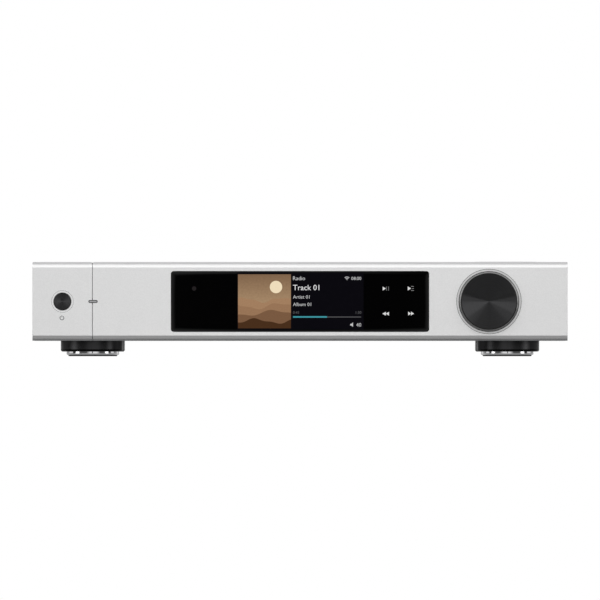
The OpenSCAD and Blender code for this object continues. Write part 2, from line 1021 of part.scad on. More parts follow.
// Display: glass whose rim slopes back on all four sides, a tray behind it, and what the tray holds
module rim_outline(half) {
  polygon([
    [-half + glass_rim, 0],
    [half - glass_rim, 0],
    [half, glass_drop],
    [half, glass_t],
    [-half, glass_t],
    [-half, glass_drop]
  ]);
}

module display_glass() {
  color("black")
    translate([0, y_front, z_mid])
      intersection() {
        along_y(0, glass_t)
          rounded(glass_w, glass_h, glass_r);
        along_z(-glass_h / 2, glass_h / 2)
          rim_outline(glass_w / 2);
        rotate([0, 90, 0])
          along_z(-glass_w / 2, glass_w / 2)
            rim_outline(glass_h / 2);
      }
}

module display_frame() {
  color("black")
    translate([0, 0, z_mid])
      difference() {
        along_y(y_glass, y_inside)
          rounded(frame_w - 2 * fit, frame_h - 2 * fit, frame_r);
        bar(0, screen_w + 2 * (module_side + fit), y_glass - over, y_glass + module_t,
          0, module_h + 2 * fit);
        bar(0, plug_w + 2 * plug_room, y_glass, y_inside + over, -plug_drop, plug_h + 2 * plug_room);
        bar(keys_x, keys_w + 2 * fit, y_glass - over, y_glass + board_t, 0, keys_h + 2 * fit);
        bar(keys_x, keys_chip + 2 * fit, y_glass, y_glass + board_t + keys_chip_t + fit,
          0, keys_chip + 2 * fit);
        bar(eye_x, eye_w + 2 * fit, y_glass - over, y_glass + eye_r + eye_t, key_rise, eye_h + 2 * fit);
      }
}

module display_module() {
  color("darkslategray")
    translate([0, 0, z_mid]) {
      difference() {
        bar(0, screen_w + 2 * module_side, y_glass, y_glass + module_t, 0, module_h);
        bar(0, screen_w, y_glass - over, y_glass + screen_sunk, 0, screen_h);
      }
      bar(0, plug_w, y_glass + module_t, y_glass + module_t + plug_d, -plug_drop, plug_h);
    }
}

module touch_key_board() {
  color("darkgreen")
    translate([0, 0, z_mid]) {
      bar(keys_x, keys_w, y_glass, y_glass + board_t, 0, keys_h);
      bar(keys_x, keys_chip, y_glass + board_t, y_glass + board_t + keys_chip_t, 0, keys_chip);
    }
}

module ir_receiver() {
  color("darkred")
    translate([eye_x, y_glass + eye_r, z_mid + key_rise]) {
      bar(0, eye_w, 0, eye_t, 0, eye_h);
      intersection() {
        sphere(eye_r);
        bar(0, 2 * eye_r, -eye_r, over, 0, 2 * eye_r);
      }
    }
}

// Light pipe across the seam, held by its flange between the panels and the subframe
module status_light() {
  color("lightgray")
    translate([x_light, 0, z_mid]) {
      along_y(y_front + light_sunk, y_inside)
        pill(light_w - 2 * light_gap, light_h - 2 * light_gap);
      along_y(y_inside - light_flange, y_inside)
        pill(light_w + 2 * light_flange - 2 * fit, light_h + 2 * light_flange - 2 * fit);
      along_y(y_inside, y_sub + standby_gap_y - led_t - led_gap)
        pill(light_pipe_w, light_pipe_h);
    }
}

// Standby button: a turned cap held by its flange in the panel's pocket, with a stem to the switch
module standby_button() {
  y_flange = y_inside - pocket_depth + flange_room;
  y_stem = y_sub + standby_gap_y - switch_t + stem_in;
  color("black")
    translate([x_standby, 0, z_mid])
      rotate([90, 0, 0])
        rotate_extrude()
          polygon([
            [0, -y_stem],
            [stem_r, -y_stem],
            [stem_r, -y_flange - flange_t],
            [standby_d / 2 + flange_w, -y_flange - flange_t],
            [standby_d / 2 + flange_w, -y_flange],
            [standby_d / 2, -y_flange],
            [standby_d / 2, standby_proud - fine_bevel - y_front],
            [standby_d / 2 - fine_bevel, standby_proud - y_front],
            [0, standby_proud - y_front]
          ]);
}

// Small board behind the standby button, with its switch, the status lamp and a plug
module standby_board() {
  y0 = y_sub + standby_gap_y;
  x0 = x_standby - standby_side - board_inset;
  x1 = x_seam + board_inset;
  color("darkgreen")
    difference() {
      block(x0, x1, y0, y0 + board_t, z_mid - standby_board_h / 2, z_mid + standby_board_h / 2);
      at_standby_screws()
        cleared(board_t);
    }
  color("dimgray")
    difference() {
      bar(x_standby, switch_w, y0 - switch_t, y0, z_mid, switch_w);
      rod_y(x_standby, z_mid, stem_r + hole_room, y0 - switch_t - over,
        y0 - switch_t + stem_in + standby_travel + fit);
    }
  color("white")
    bar(x_light, led_w, y0 - led_t, y0, z_mid, led_h);
  color("ivory")
    bar(power_x, lead_plug_w, y0 + board_t, y0 + board_t + lead_plug_d,
      z_mid - standby_plug_drop, lead_plug_h);
}

// Volume knob: a hollow turned cap with a hub, on the shaft of an encoder that also presses
module volume_knob() {
  bore = shaft_r + run_fit;
  hub_low = bush_l + hub_clear + knob_travel - front_t;
  color("black")
    translate([x_knob, y_front, z_mid])
      rotate([90, 0, 0])
        rotate_extrude()
          polygon([
            [bore, hub_low],
            [hub_r, hub_low],
            [hub_r, knob_proud - knob_roof],
            [knob_d / 2 - knob_wall, knob_proud - knob_roof],
            [knob_d / 2 - knob_wall, -knob_sunk],
            [knob_d / 2, -knob_sunk],
            [knob_d / 2, knob_proud - knob_bevel],
            [knob_d / 2 - knob_bevel, knob_proud],
            [0, knob_proud],
            [0, knob_proud - shaft_seat],
            [bore, knob_proud - shaft_seat]
          ]);
}

module encoder_shaft() {
  color("silver")
    rod_y(x_knob, z_mid, shaft_r, y_front - knob_proud + shaft_seat, y_sub + shaft_in);
}

module encoder_plunger() {
  color("white")
    rod_y(x_knob, z_mid, shaft_r, y_sub + shaft_in, y_sub + shaft_in + plunger_t);
}

module encoder_body() {
  color("dimgray")
    difference() {
      union() {
        bar(x_knob, encoder_w, y_sub, y_sub + encoder_depth, z_mid, encoder_w);
        rod_y(x_knob, z_mid, bush_r, y_inside - bush_l, y_sub);
      }
      rod_y(x_knob, z_mid, shaft_r + run_fit, y_inside - bush_l - over,
        y_sub + shaft_in + plunger_t + knob_travel + fit);
    }
}

module encoder_nut() {
  color("silver")
    difference() {
      translate([x_knob, y_inside, z_mid])
        rotate([90, 0, 0])
          cylinder(d = nut_w / cos(30), h = nut_h, $fn = 6);
      rod_y(x_knob, z_mid, bush_r + run_fit, y_inside - nut_h - over, y_inside + over);
    }
}

// Mains inlet: a moulded body with a rim, the plug's hole with its three blades, and a switch well
module mains_inlet() {
  floor_y = y_rear + inlet_rim_t - plug_hole_depth;
  color("black") {
    difference() {
      union() {
        along_y(y_rear, y_rear + inlet_rim_t)
          translate([inlet_x, z_mid])
            rounded(inlet_w + 2 * inlet_rim, inlet_h + 2 * inlet_rim, inlet_r);
        bar(inlet_x, inlet_w, y_back - inlet_depth, y_rear, z_mid, inlet_h);
      }
      along_y(floor_y, y_rear + inlet_rim_t + over)
        translate([inlet_x, inlet_z])
          polygon([
            [-plug_hole_w / 2, -plug_hole_h / 2],
            [plug_hole_w / 2, -plug_hole_h / 2],
            [plug_hole_w / 2, plug_hole_h / 2 - plug_hole_cut],
            [plug_hole_w / 2 - plug_hole_cut, plug_hole_h / 2],
            [-plug_hole_w / 2 + plug_hole_cut, plug_hole_h / 2],
            [-plug_hole_w / 2, plug_hole_h / 2 - plug_hole_cut]
          ]);
      bar(inlet_x, rocker_w + rocker_room, rocker_y - rocker_well, y_rear + inlet_rim_t + over, rocker_z,
        rocker_h + 2 * rocker_room);
      translate([inlet_x, rocker_y, rocker_z])
        rotate([0, 90, 0])
          cylinder(r = rocker_pin_r + run_fit, h = rocker_w + 2 * (rocker_pin_l + fit), center = true);
    }
    for (i = [-1 : 1])
      bar(inlet_x + i * blade_pitch, blade_w, floor_y, y_rear + inlet_rim_t - blade_sunk,
        inlet_z + (1 - 2 * abs(i)) * blade_rise, blade_h);
  }
}

// Rocker: an outline with a dished face, carried along X, with a pin at each end
module mains_rocker() {
  color("black")
    translate([inlet_x, rocker_y, rocker_z])
      rotate([rocker_tilt, 0, 0]) {
        along_x(-rocker_w / 2, rocker_w / 2)
          polygon([
            [rocker_dip, 0],
            [rocker_out, rocker_h / 2],
            [0, rocker_h / 2],
            [-rocker_back, rocker_h / 4],
            [-rocker_back, -rocker_h / 4],
            [0, -rocker_h / 2],
            [rocker_out, -rocker_h / 2]
          ]);
        rotate([0, 90, 0])
          cylinder(r = rocker_pin_r, h = rocker_w + 2 * rocker_pin_l, center = true);
      }
}

// Network socket with its stepped hole and a row of contacts under its roof
module lan_jack() {
  x = x_right - lan_in;
  y1 = y_rear + socket_proud;
  hole_z = z_board + lan_floor + lan_hole_h / 2;
  color("silver")
    difference() {
      block(x - lan_w / 2, x + lan_w / 2, y1 - lan_depth, y1, z_board, z_board + lan_h);
      bar(x, lan_hole_w, y1 - lan_hole_depth, y1 + over, hole_z, lan_hole_h);
      bar(x, lan_key_w, y1 - lan_hole_depth, y1 + over, hole_z - lan_hole_h / 2, 2 * lan_key_h);
    }
  color("gold")
    for (i = [0 : lan_pins - 1])
      bar(x + (i - (lan_pins - 1) / 2) * lan_pin_pitch, lan_pin_w, y1 - lan_hole_depth, y1 - lan_key_h,
        hole_z + (lan_hole_h - lan_pin_h) / 2, lan_pin_h);
}

// Two USB sockets, one over the other
module usb_jack() {
  x = x_right - usb_in;
  y1 = y_rear + socket_proud;
  color("silver")
    difference() {
      block(x - usb_w / 2, x + usb_w / 2, y1 - usb_depth, y1, z_board, z_board + usb_h);
      for (i = [0, 1])
        bar(x, usb_hole_w, y1 - usb_hole_depth, y1 + over,
          z_board + usb_floor + usb_hole_h / 2 + i * usb_pitch, usb_hole_h);
    }
  color("black")
    for (i = [0, 1])
      block(x - usb_tongue_w / 2, x + usb_tongue_w / 2, y1 - usb_hole_depth, y1 - usb_tongue_sunk,
        z_board + usb_floor + usb_hole_h + i * usb_pitch - usb_tongue_h - usb_tongue_sunk / 2,
        z_board + usb_floor + usb_hole_h + i * usb_pitch - usb_tongue_sunk / 2);
}

// Optical socket, closed by a small shutter that the plug pushes in
module optical_jack() {
  x = x_right - optical_in;
  y1 = y_rear + socket_proud;
  hole_z = z_board + optical_floor + optical_hole_h / 2;
  color("dimgray") {
    difference() {
      block(x - optical_w / 2, x + optical_w / 2, y1 - optical_depth, y1, z_board, z_board + optical_h);
      bar(x, optical_hole_w, y1 - optical_hole_depth, y1 + over, hole_z, optical_hole_h);
      translate([x, shutter_y, shutter_z])
        rotate([0, 90, 0])
          cylinder(r = shutter_pin_r + run_fit, h = shutter_w + 2 * (shutter_pin_l + fit), center = true);
    }
    rod_y(x, hole_z, ferrule_r, y1 - optical_hole_depth, y1 - optical_hole_depth + ferrule_l);
  }
}

module optical_shutter() {
  color("gray")
    translate([x_right - optical_in, shutter_y, shutter_z]) {
      block(-shutter_w / 2, shutter_w / 2, -shutter_t / 2, shutter_t / 2, -shutter_l, 0);
      rotate([0, 90, 0])
        cylinder(r = shutter_pin_r, h = shutter_w + 2 * shutter_pin_l, center = true);
    }
}

// A round audio jack on its block: a coloured collar, a plated barrel and a core with the centre bore
module round_jack(x, shade) {
  y1 = y_rear + jack_proud;
  color(shade) {
    block(x - jack_block_w / 2, x + jack_block_w / 2, y_back - jack_block_d, y_back - board_gap, z_board,
      z_board + jack_block_h);
    rod_y(x, jack_z, collar_r, y_back - board_gap, y_rear + collar_proud);
  }
  color("gold")
    difference() {
      rod_y(x, jack_z, barrel_r, y_rear, y1);
      rod_y(x, jack_z, barrel_r - barrel_wall, y1 - core_sunk, y1 + over);
      rod_y(x, jack_z, bore_r, y1 - core_sunk - bore_l, y1 + over);
    }
}

module coax_jack() {
  round_jack(x_right - coax_in, "black");
}

module line_jack_left() {
  round_jack(x_right - line_in[0], "white");
}

module line_jack_right() {
  round_jack(x_right - line_in[1], "red");
}

// A balanced output: a square rim, a round shell and three contacts
module balanced_jack(x) {
  y1 = y_rear + balanced_t;
  color("silver") {
    difference() {
      union() {
        along_y(y_rear, y1)
          translate([x, balanced_z])
            rounded(balanced_w, balanced_h, balanced_r);
        rod_y(x, balanced_z, shell_r, y_rear - shell_depth, y1);
      }
      rod_y(x, balanced_z, shell_hole_r, y1 - shell_hole_depth, y1 + over);
      at_ear_screws()
        cleared(balanced_t);
    }
    for (a = contact_turns)
      rod_y(x + contact_circle * cos(a), balanced_z + contact_circle * sin(a), contact_r,
        y_rear - shell_depth - tab_l, y1 - contact_sunk);
  }
}

module balanced_jack_left() {
  balanced_jack(x_right - balanced_in[0]);
}

module balanced_jack_right() {
  balanced_jack(x_right - balanced_in[1]);
}

// A board with holes for its screws; what stands on it is drawn after it
module board(b) {
  difference() {
    block(b[0], b[1], b[2], b[3], z_board_low, z_board);
    at_standoffs()
      cleared(standoff_h + board_t);
  }
}

module upright(x, y, r, h) {
  translate([x, y, z_board])
    cylinder(r = r, h = h);
}

module chip(x, y, w, d, h) {
  block(x - w / 2, x + w / 2, y - d / 2, y + d / 2, z_board, z_board + h);
}

// Streamer board: processor, memory, a radio under its shield, a row of capacitors and plugs
module streamer_board() {
  color("darkgreen") {
    board(boards[1]);
    chip(0, streamer_y0 + lead_plug_y, plug_w, lead_plug_d, lead_plug_h);
    chip(streamer_x0 + header_d, streamer_y0 + 2 * header_w, header_d, header_w, header_h);
    chip(chip_x, chip_y, chip_w, chip_w, chip_t);
    chip(chip_x - shield_w, chip_y, shield_w / 2, shield_w, shield_h);
    for (i = [-1, 1])
      chip(chip_x + shield_w, chip_y + i * small_chip, small_chip, memory_d, chip_t);
    for (i = [0 : 4])
      upright(streamer_x0 + header_w + i * small_can_pitch, chip_y + shield_w, small_can_r, small_can_h);
  }
}

// Converter board: two converter chips, output stages and capacitors, in one half for each channel
module converter_board() {
  middle = (converter_x0 + converter_x1) / 2;
  color("darkgreen") {
    board(boards[2]);
    chip(x_knob, converter_y0 + lead_plug_y, lead_plug_w, lead_plug_d, lead_plug_h);
    for (s = [-1, 1]) {
      chip(middle + s * small_chip * 2, converter_y0 + 2 * small_chip + lead_plug_w,
        small_chip, small_chip, chip_t);
      for (i = [0 : 2])
        upright(middle + s * (can_pitch + i * small_can_pitch), converter_y0 + socket_space,
          small_can_r, small_can_h);
      for (i = [0 : 1])
        chip(middle + s * (can_pitch + i * small_can_pitch), y_boards - socket_space,
          small_chip, small_chip, chip_t);
    }
  }
}

// Power board: filter, smoothing capacitors and the plugs of its cables
module power_board() {
  color("darkolivegreen") {
    board(boards[0]);
    chip(power_x, power_y0 + lead_plug_y, lead_plug_w, lead_plug_d, lead_plug_h);
    chip(power_x, power_y1 - header_d, header_w, header_d, header_h);
    chip(power_x1 - header_d, power_y0 + 2 * header_w, header_d, header_w, header_h);
    chip(power_x, filter_y, small_chip * 2, header_w, 2 * header_h);
    for (i = [0, 1])
      upright(power_x - small_can_r, power_y0 + socket_space + can_pitch * i, can_r, can_h);
  }
}

module power_transformer() {
  color("goldenrod")
    translate([power_x, transformer_y, z_board]) {
      block(-core_w / 2, core_w / 2, -core_d / 2, core_d / 2, 0, core_h);
      bar(0, coil_w, -coil_d / 2, coil_d / 2, core_h / 2, coil_h);
    }
}

module processor_heatsink() {
  fins = floor((sink_w - fin_t) / fin_pitch);
  color("dimgray")
    translate([chip_x, chip_y, z_board + chip_t]) {
      block(-sink_w / 2, sink_w / 2, -sink_w / 2, sink_w / 2, 0, sink_base);
      for (i = [0 : fins])
        translate([(i - fins / 2) * fin_pitch - fin_t / 2, -sink_w / 2, sink_base])
          cube([fin_t, sink_w, fin_h]);
    }
}

module board_standoffs() {
  color("gold")
    at_standoffs()
      difference() {
        cylinder(r = standoff_r, h = standoff_h);
        translate([0, 0, standoff_h + board_t - board_screw_l - tip_room])
          cylinder(r = screw_r + run_fit, h = board_screw_l + over);
      }
}

// Sheet between the two bays, with a foot along the bottom plate and a slot for the power leads
module bay_partition() {
  y_leads = power_y0 + 2 * header_w;
  color("gainsboro")
    difference() {
      union() {
        block(partition_x - partition_t / 2, partition_x + partition_t / 2, partition_y0, y_back, z_low,
          z_high - 2 * fit);
        block(partition_x, partition_x + partition_flange, partition_y0, y_back - lip_t - fit, z_low,
          z_low + partition_t);
      }
      block(partition_x - over, partition_x + over,
        y_leads - harness_w / 2 - over, y_leads + harness_w / 2 + over, slot_z, slot_z + slot_h);
      at_partition_screws()
        tapped(partition_screw_l);
    }
}

// Flat cable from the display to the streamer board
module display_ribbon() {
  y0 = y_glass + module_t + plug_d;
  z0 = z_mid - plug_drop;
  y1 = streamer_y0 + lead_y;
  z1 = z_board + lead_plug_h / 2;
  path = concat([[y0, z0]], bend([y_sub + header_d, z0], [y1 - header_d, z1]), [[y1, z1]]);
  color("white")
    along_x(-plug_w / 2 + over, plug_w / 2 - over)
      polygon(band(path, ribbon_t));
}

// Leads from the standby board to the power board, and from the encoder to the converter board
module lead(x, y0, z0, y1) {
  z1 = z_board + lead_plug_h / 2;
  path = concat([[y0, z0]], bend([y0 + header_d, z0], [y1 - header_d, z1]), [[y1, z1]]);
  along_x(x - lead_plug_w / 2 + over, x + lead_plug_w / 2 - over)
    polygon(band(path, lead_t));
}

module signal_leads() {
  color("slategray") {
    lead(power_x, y_sub + standby_gap_y + board_t + lead_plug_d, z_mid - standby_plug_drop,
      power_y0 + lead_y);
    lead(x_knob, y_sub + encoder_depth, z_mid - lead_plug_h, converter_y0 + lead_y);
  }
}

// Leads from the power board, through the partition, to the streamer board
module power_harness() {
  x0 = power_x1 - header_d;
  x1 = streamer_x0 + header_d;
  y0 = power_y0 + 2 * header_w;
  z0 = z_board + header_h + harness_lift;
  color("red")
    along_y(y0 - harness_w / 2, y0 + harness_w / 2)
      polygon(band(arch([x0, z0], [x1, z0], harness_arch), harness_t));
}

// Leads from the mains inlet to the power board
module mains_harness() {
  y0 = power_y1 - header_d / 2;
  y1 = y_back - inlet_depth;
  z0 = z_board + header_h / 2;
  path = concat([[y0, z0]], bend([y0 + over, z0], [y1 - over, inlet_z]), [[y1, inlet_z]]);
  color("saddlebrown")
    along_x(power_x - harness_w / 2, power_x + harness_w / 2)
      polygon(band(path, harness_t));
}

module case_screws() {
  color("dimgray") {
    at_bottom_rail_screws()
      flat_screw(bottom_screw_l);
    at_partition_screws()
      flat_screw(partition_screw_l);
    at_front_rail_screws()
      flat_screw(rail_screw_l);
    at_rear_rail_screws()
      round_screw(rail_screw_l);
    at_lip_screws()
      round_screw(lip_screw_l);
    at_front_screws()
      round_screw(front_screw_l);
    at_ear_screws()
      round_screw(ear_screw_l);
  }
}

module board_screws() {
  color("silver") {
    at_standoffs()
      translate([0, 0, standoff_h + board_t])
        mirror([0, 0, 1])
          round_screw(board_screw_l);
    at_standby_screws()
      round_screw(board_screw_l);
  }
}

module antenna_board() {
  color("darkgreen")
    translate([antenna_x, antenna_y, z_high - antenna_board_t])
      translate([-antenna_board_w / 2, -antenna_board_d / 2, 0])
        cube([antenna_board_w, antenna_board_d, antenna_board_t]);
}

front_panel();
front_end_panel();
front_subframe();
side_panel_left();
side_panel_right();
top_cover();
bottom_plate();
rear_panel();
antenna_cover();
antenna_board();
for (i = [0 : 3]) {
  foot_shell(i);
  foot_ring(i);
  foot_pad(i);
}
display_glass();
display_frame();
display_module();
touch_key_board();
ir_receiver();
status_light();
standby_button();
standby_board();
volume_knob();
encoder_shaft();
encoder_plunger();
encoder_body();
encoder_nut();
mains_inlet();
mains_rocker();
lan_jack();
usb_jack();
optical_jack();
optical_shutter();
coax_jack();
line_jack_left();
line_jack_right();
balanced_jack_left();
balanced_jack_right();
streamer_board();
converter_board();
power_board();
power_transformer();
processor_heatsink();
bay_partition();
board_standoffs();
display_ribbon();
power_harness();
mains_harness();
signal_leads();
case_screws();
board_screws();
foot_screws();
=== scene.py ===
"""Looks of a network music streamer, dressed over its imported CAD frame.

Lengths are metres in the frame's own axes: X to the right, Y to the rear, Z up from the ground.
"""
from math import pi, radians

import bmesh
import bpy
import numpy as np
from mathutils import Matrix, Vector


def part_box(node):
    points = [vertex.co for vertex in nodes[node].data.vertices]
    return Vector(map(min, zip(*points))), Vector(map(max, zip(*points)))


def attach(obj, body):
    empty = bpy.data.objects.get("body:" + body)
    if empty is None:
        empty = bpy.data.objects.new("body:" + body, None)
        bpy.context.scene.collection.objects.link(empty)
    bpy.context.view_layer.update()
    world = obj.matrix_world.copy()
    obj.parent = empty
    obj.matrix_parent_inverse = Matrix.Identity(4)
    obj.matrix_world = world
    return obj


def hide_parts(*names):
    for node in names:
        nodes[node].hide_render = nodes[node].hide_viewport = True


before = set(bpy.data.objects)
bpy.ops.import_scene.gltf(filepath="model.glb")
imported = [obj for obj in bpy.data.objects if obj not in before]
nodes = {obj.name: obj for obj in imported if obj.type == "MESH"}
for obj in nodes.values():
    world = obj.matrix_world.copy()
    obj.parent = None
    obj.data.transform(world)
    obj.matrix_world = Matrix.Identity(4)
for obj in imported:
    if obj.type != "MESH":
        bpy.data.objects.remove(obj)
bpy.context.view_layer.update()
MM = 0.001

# Planes and places that several pieces share, read from the frame
FACE_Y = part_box("front_panel")[0].y
REAR_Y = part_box("rear_panel")[1].y
GLASS_LOW, GLASS_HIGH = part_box("display_glass")
KNOB_LOW, KNOB_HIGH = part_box("volume_knob")
BUTTON_LOW, BUTTON_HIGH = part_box("standby_button")
LIGHT_LOW, LIGHT_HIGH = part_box("status_light")
SEAM_X = (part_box("front_end_panel")[1].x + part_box("front_panel")[0].x) / 2
KNOB_AXIS = ((KNOB_LOW.x + KNOB_HIGH.x) / 2, (KNOB_LOW.z + KNOB_HIGH.z) / 2)
BUTTON_AXIS = ((BUTTON_LOW.x + BUTTON_HIGH.x) / 2, (BUTTON_LOW.z + BUTTON_HIGH.z) / 2)
LIGHT_X, LIGHT_Z = (LIGHT_LOW.x + LIGHT_HIGH.x) / 2, (LIGHT_LOW.z + LIGHT_HIGH.z) / 2

# The photograph: 600 pixels square, its middle over the middle of the object
PIXEL = 0.8034 * MM
GROUND_ROW = 356.2
IMAGE = 600


def across(column):
    """X of a column of the photograph."""
    return (np.asarray(column, float) - IMAGE / 2) * PIXEL


def height(row):
    """Z of a row of the photograph."""
    return (GROUND_ROW - np.asarray(row, float)) * PIXEL


# Meshes

DOUBLE = 1e-7
DEGENERATE = 1e-8


def grid_faces(rows, columns, round_columns=False):
    """Quads between neighbouring lines of a grid; round columns join the last one to the first."""
    i = np.arange(rows - 1)[:, None]
    j = np.arange(columns if round_columns else columns - 1)[None, :]
    j1 = (j + 1) % columns
    corners = [i * columns + j, i * columns + j1, (i + 1) * columns + j1, (i + 1) * columns + j]
    return np.stack(corners, -1).reshape(-1, 4)


def piece(name, points, faces, look, body, corner=None, sharp=35, closed=True):
    """A mesh piece on a body. Doubles are merged, a closed one is turned outwards, and edges over the
    sharp angle stay sharp."""
    mesh = bpy.data.meshes.new(name)
    mesh.from_pydata(np.asarray(points, float).reshape(-1, 3).tolist(), [], [list(f) for f in faces])
    if corner is not None:
        layer = mesh.uv_layers.new(name="run")
        layer.data.foreach_set("uv", np.asarray(corner, np.float32).ravel())
    work = bmesh.new()
    work.from_mesh(mesh)
    bmesh.ops.remove_doubles(work, verts=work.verts, dist=DOUBLE)
    bmesh.ops.dissolve_degenerate(work, edges=work.edges, dist=DEGENERATE)
    if closed:
        bmesh.ops.recalc_face_normals(work, faces=work.faces)
    work.to_mesh(mesh)
    work.free()
    mesh.polygons.foreach_set("use_smooth", np.ones(len(mesh.polygons), bool))
    mesh.set_sharp_from_angle(angle=radians(sharp))
    mesh.materials.append(look)
    obj = bpy.data.objects.new(name, mesh)
    bpy.context.scene.collection.objects.link(obj)
    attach(obj, body)
    return obj


def turned(name, profile, centre, look, body, steps=192):
    """A turned piece: each point (r, y) of the profile goes round the Y axis through the centre (x, z),
    to (x + r cos t, y, z + r sin t). The UV map runs along the profile, then round."""
    r, y = np.asarray(profile, float).T
    t = np.linspace(0, 2 * pi, steps, endpoint=False)
    points = np.stack([
        centre[0] + r[:, None] * np.cos(t),
        np.repeat(y[:, None], steps, 1),
        centre[1] + r[:, None] * np.sin(t),
    ], -1)
    run = np.concatenate([[0], np.cumsum(np.hypot(np.diff(r), np.diff(y)))])
    i = np.arange(len(r) - 1)[:, None]
    j = np.arange(steps)[None, :]
    near, far = run[i] + 0 * j, run[i + 1] + 0 * j
    corner = np.stack([
        np.stack([near, near, far, far], -1) / run[-1],
        np.stack([j + 0 * i, j + 1 + 0 * i, j + 1 + 0 * i, j + 0 * i], -1) / steps,
    ], -1)
    faces = grid_faces(len(r), steps, round_columns=True)
    return piece(name, points, faces, look, body, corner)


def rounded_loop(width, tall, radius, steps=12):
    """Points (x, z) round a rectangle with round corners: each corner is a quarter circle of the radius."""
    a = np.linspace(0, pi / 2, steps)
    turn = np.concatenate([a, a + pi / 2, a + pi, a + 3 * pi / 2])
    sx = np.repeat([1, -1, -1, 1], steps) * (width / 2 - radius)
    sz = np.repeat([1, 1, -1, -1], steps) * (tall / 2 - radius)
    return np.stack([sx + radius * np.cos(turn), sz + radius * np.sin(turn)], -1)


def flat_sheet(name, x, z, y, look):
    """A flat sheet that faces forwards: grids x and z over two parameters, all at the depth y."""
    points = np.stack([x, np.full(x.shape, y), z], -1)
    return piece(name, points, grid_faces(*x.shape), look, "chassis", closed=False)


def between(low, high, left, right, columns=64, rows=6):
    """Grids x and z of the area between two curves: low and high give z along x, rows divide the way up."""
    x = np.linspace(left, right, columns)
    up = np.linspace(0, 1, rows)[:, None]
    bottom, top = low(x)[None, :], high(x)[None, :]
    return np.repeat(x[None, :], rows, 0), bottom + up * (top - bottom)


def signs(name, outlines, y, look):
    """Flat signs that face forwards, one face for each outline of points (x, z), taken anticlockwise."""
    sizes = np.array([len(o) for o in outlines])
    starts = np.concatenate([[0], np.cumsum(sizes)[:-1]])
    flat = np.concatenate([np.asarray(o, float) for o in outlines])
    points = np.stack([flat[:, 0], np.full(len(flat), y), flat[:, 1]], -1)
    faces = [range(s, s + n) for s, n in zip(starts, sizes)]
    return piece(name, points, faces, look, "chassis", closed=False)


def box_sign(left, top, right, bottom):
    """Outline of an upright rectangle given in the photograph's pixels."""
    x0, x1, z0, z1 = across(left), across(right), height(bottom), height(top)
    return np.array([[x0, z0], [x1, z0], [x1, z1], [x0, z1]])


def arrow_sign(left, top, right, bottom, to_right=True):
    """Outline of a triangle that fills a rectangle of the photograph and points to one side."""
    x0, x1, z0, z1 = across(left), across(right), height(bottom), height(top)
    middle = (z0 + z1) / 2
    if to_right:
        return np.array([[x0, z0], [x1, middle], [x0, z1]])
    return np.array([[x1, z0], [x1, z1], [x0, middle]])


def arc_sign(centre, inner, outer, start, end, steps=40):
    """Outline of a part of a ring between two angles in degrees: out along the outer arc, back along the
    inner one."""
    t = np.radians(np.linspace(start, end, steps))
    ring = np.stack([np.cos(t), np.sin(t)], -1)
    return np.concatenate([centre + outer * ring, (centre + inner * ring)[::-1]])


def lettering(text):
    """Points (x, z) and faces of a line of text one unit tall that starts at zero."""
    curve = bpy.data.curves.new("line_of_text", "FONT")
    curve.body = text
    curve.resolution_u = 3
    obj = bpy.data.objects.new("line_of_text", curve)
    bpy.context.scene.collection.objects.link(obj)
    bpy.context.view_layer.update()
    mesh = obj.evaluated_get(bpy.context.evaluated_depsgraph_get()).to_mesh()
    co = np.empty(len(mesh.vertices) * 3, np.float32)
    mesh.vertices.foreach_get("co", co)
    co = co.reshape(-1, 3)[:, :2].astype(float)
    faces = [list(p.vertices) for p in mesh.polygons]
    bpy.data.objects.remove(obj)
    bpy.data.curves.remove(curve)
    low = co.min(0)
    return (co - low) / (co[:, 1].max() - low[1]), faces


def screen_text(name, lines, y, look):
    """Lines of text on the screen as one flat piece: each is (text, column, top row, bottom row, side), and
    its letters, one unit tall, are stretched to the rows and start or end at the column."""
    all_points, all_faces, count = [], [], 0
    for text, column, top, bottom, side in lines:
        flat, faces = lettering(text)
        tall = (bottom - top) * PIXEL
        x = across(column) - (flat[:, 0].max() * tall if side == "right" else 0) + flat[:, 0] * tall
        all_points.append(np.stack([x, np.full(len(flat), y), height(bottom) + flat[:, 1] * tall], -1))
        all_faces += [[count + k for k in f] for f in faces]
        count += len(flat)
    points = np.concatenate(all_points)
    return piece(name, points, all_faces, look, "chassis", closed=False)


# Shader helpers

def fill(tree, node, inputs):
    """Sets or links each input of a node, by its name or as iN by its place."""
    for key, value in inputs.items():
        by_place = key[0] == "i" and key[1:].isdigit()
        socket = node.inputs[int(key[1:])] if by_place else node.inputs[key.replace("_", " ")]
        if isinstance(value, bpy.types.NodeSocket):
            tree.links.new(value, socket)
        else:
            socket.default_value = value


def add(tree, kind, settings=None, **inputs):
    """A shader node with its settings and inputs."""
    node = tree.nodes.new("ShaderNode" + kind)
    for key, value in (settings or {}).items():
        setattr(node, key, value)
    fill(tree, node, inputs)
    return node


def sums(tree, operation, *values):
    """Output of a Math node."""
    inputs = {f"i{k}": value for k, value in enumerate(values)}
    return add(tree, "Math", {"operation": operation}, **inputs).outputs[0]


def vectors(tree, operation, *values, **named):
    """Output of a Vector Math node: a vector, or for a length its value."""
    inputs = {f"i{k}": value for k, value in enumerate(values)}
    node = add(tree, "VectorMath", {"operation": operation}, **inputs, **named)
    return node.outputs["Value" if operation == "LENGTH" else "Vector"]


def ramp(tree, value, start, end, low=0.0, high=1.0, way="LINEAR"):
    """Output of a Map Range node: a value from start to end becomes one from low to high."""
    settings = {"interpolation_type": way}
    return add(tree, "MapRange", settings, i0=value, i1=start, i2=end, i3=low, i4=high).outputs[0]


def mixed(tree, mask, base, over):
    """A colour: base, and over where the mask is 1."""
    return add(tree, "Mix", {"data_type": "RGBA"}, i0=mask, i6=base, i7=over).outputs[2]


def surface_point(tree):
    """The point of the surface in Object coordinates."""
    return add(tree, "TexCoord").outputs["Object"]


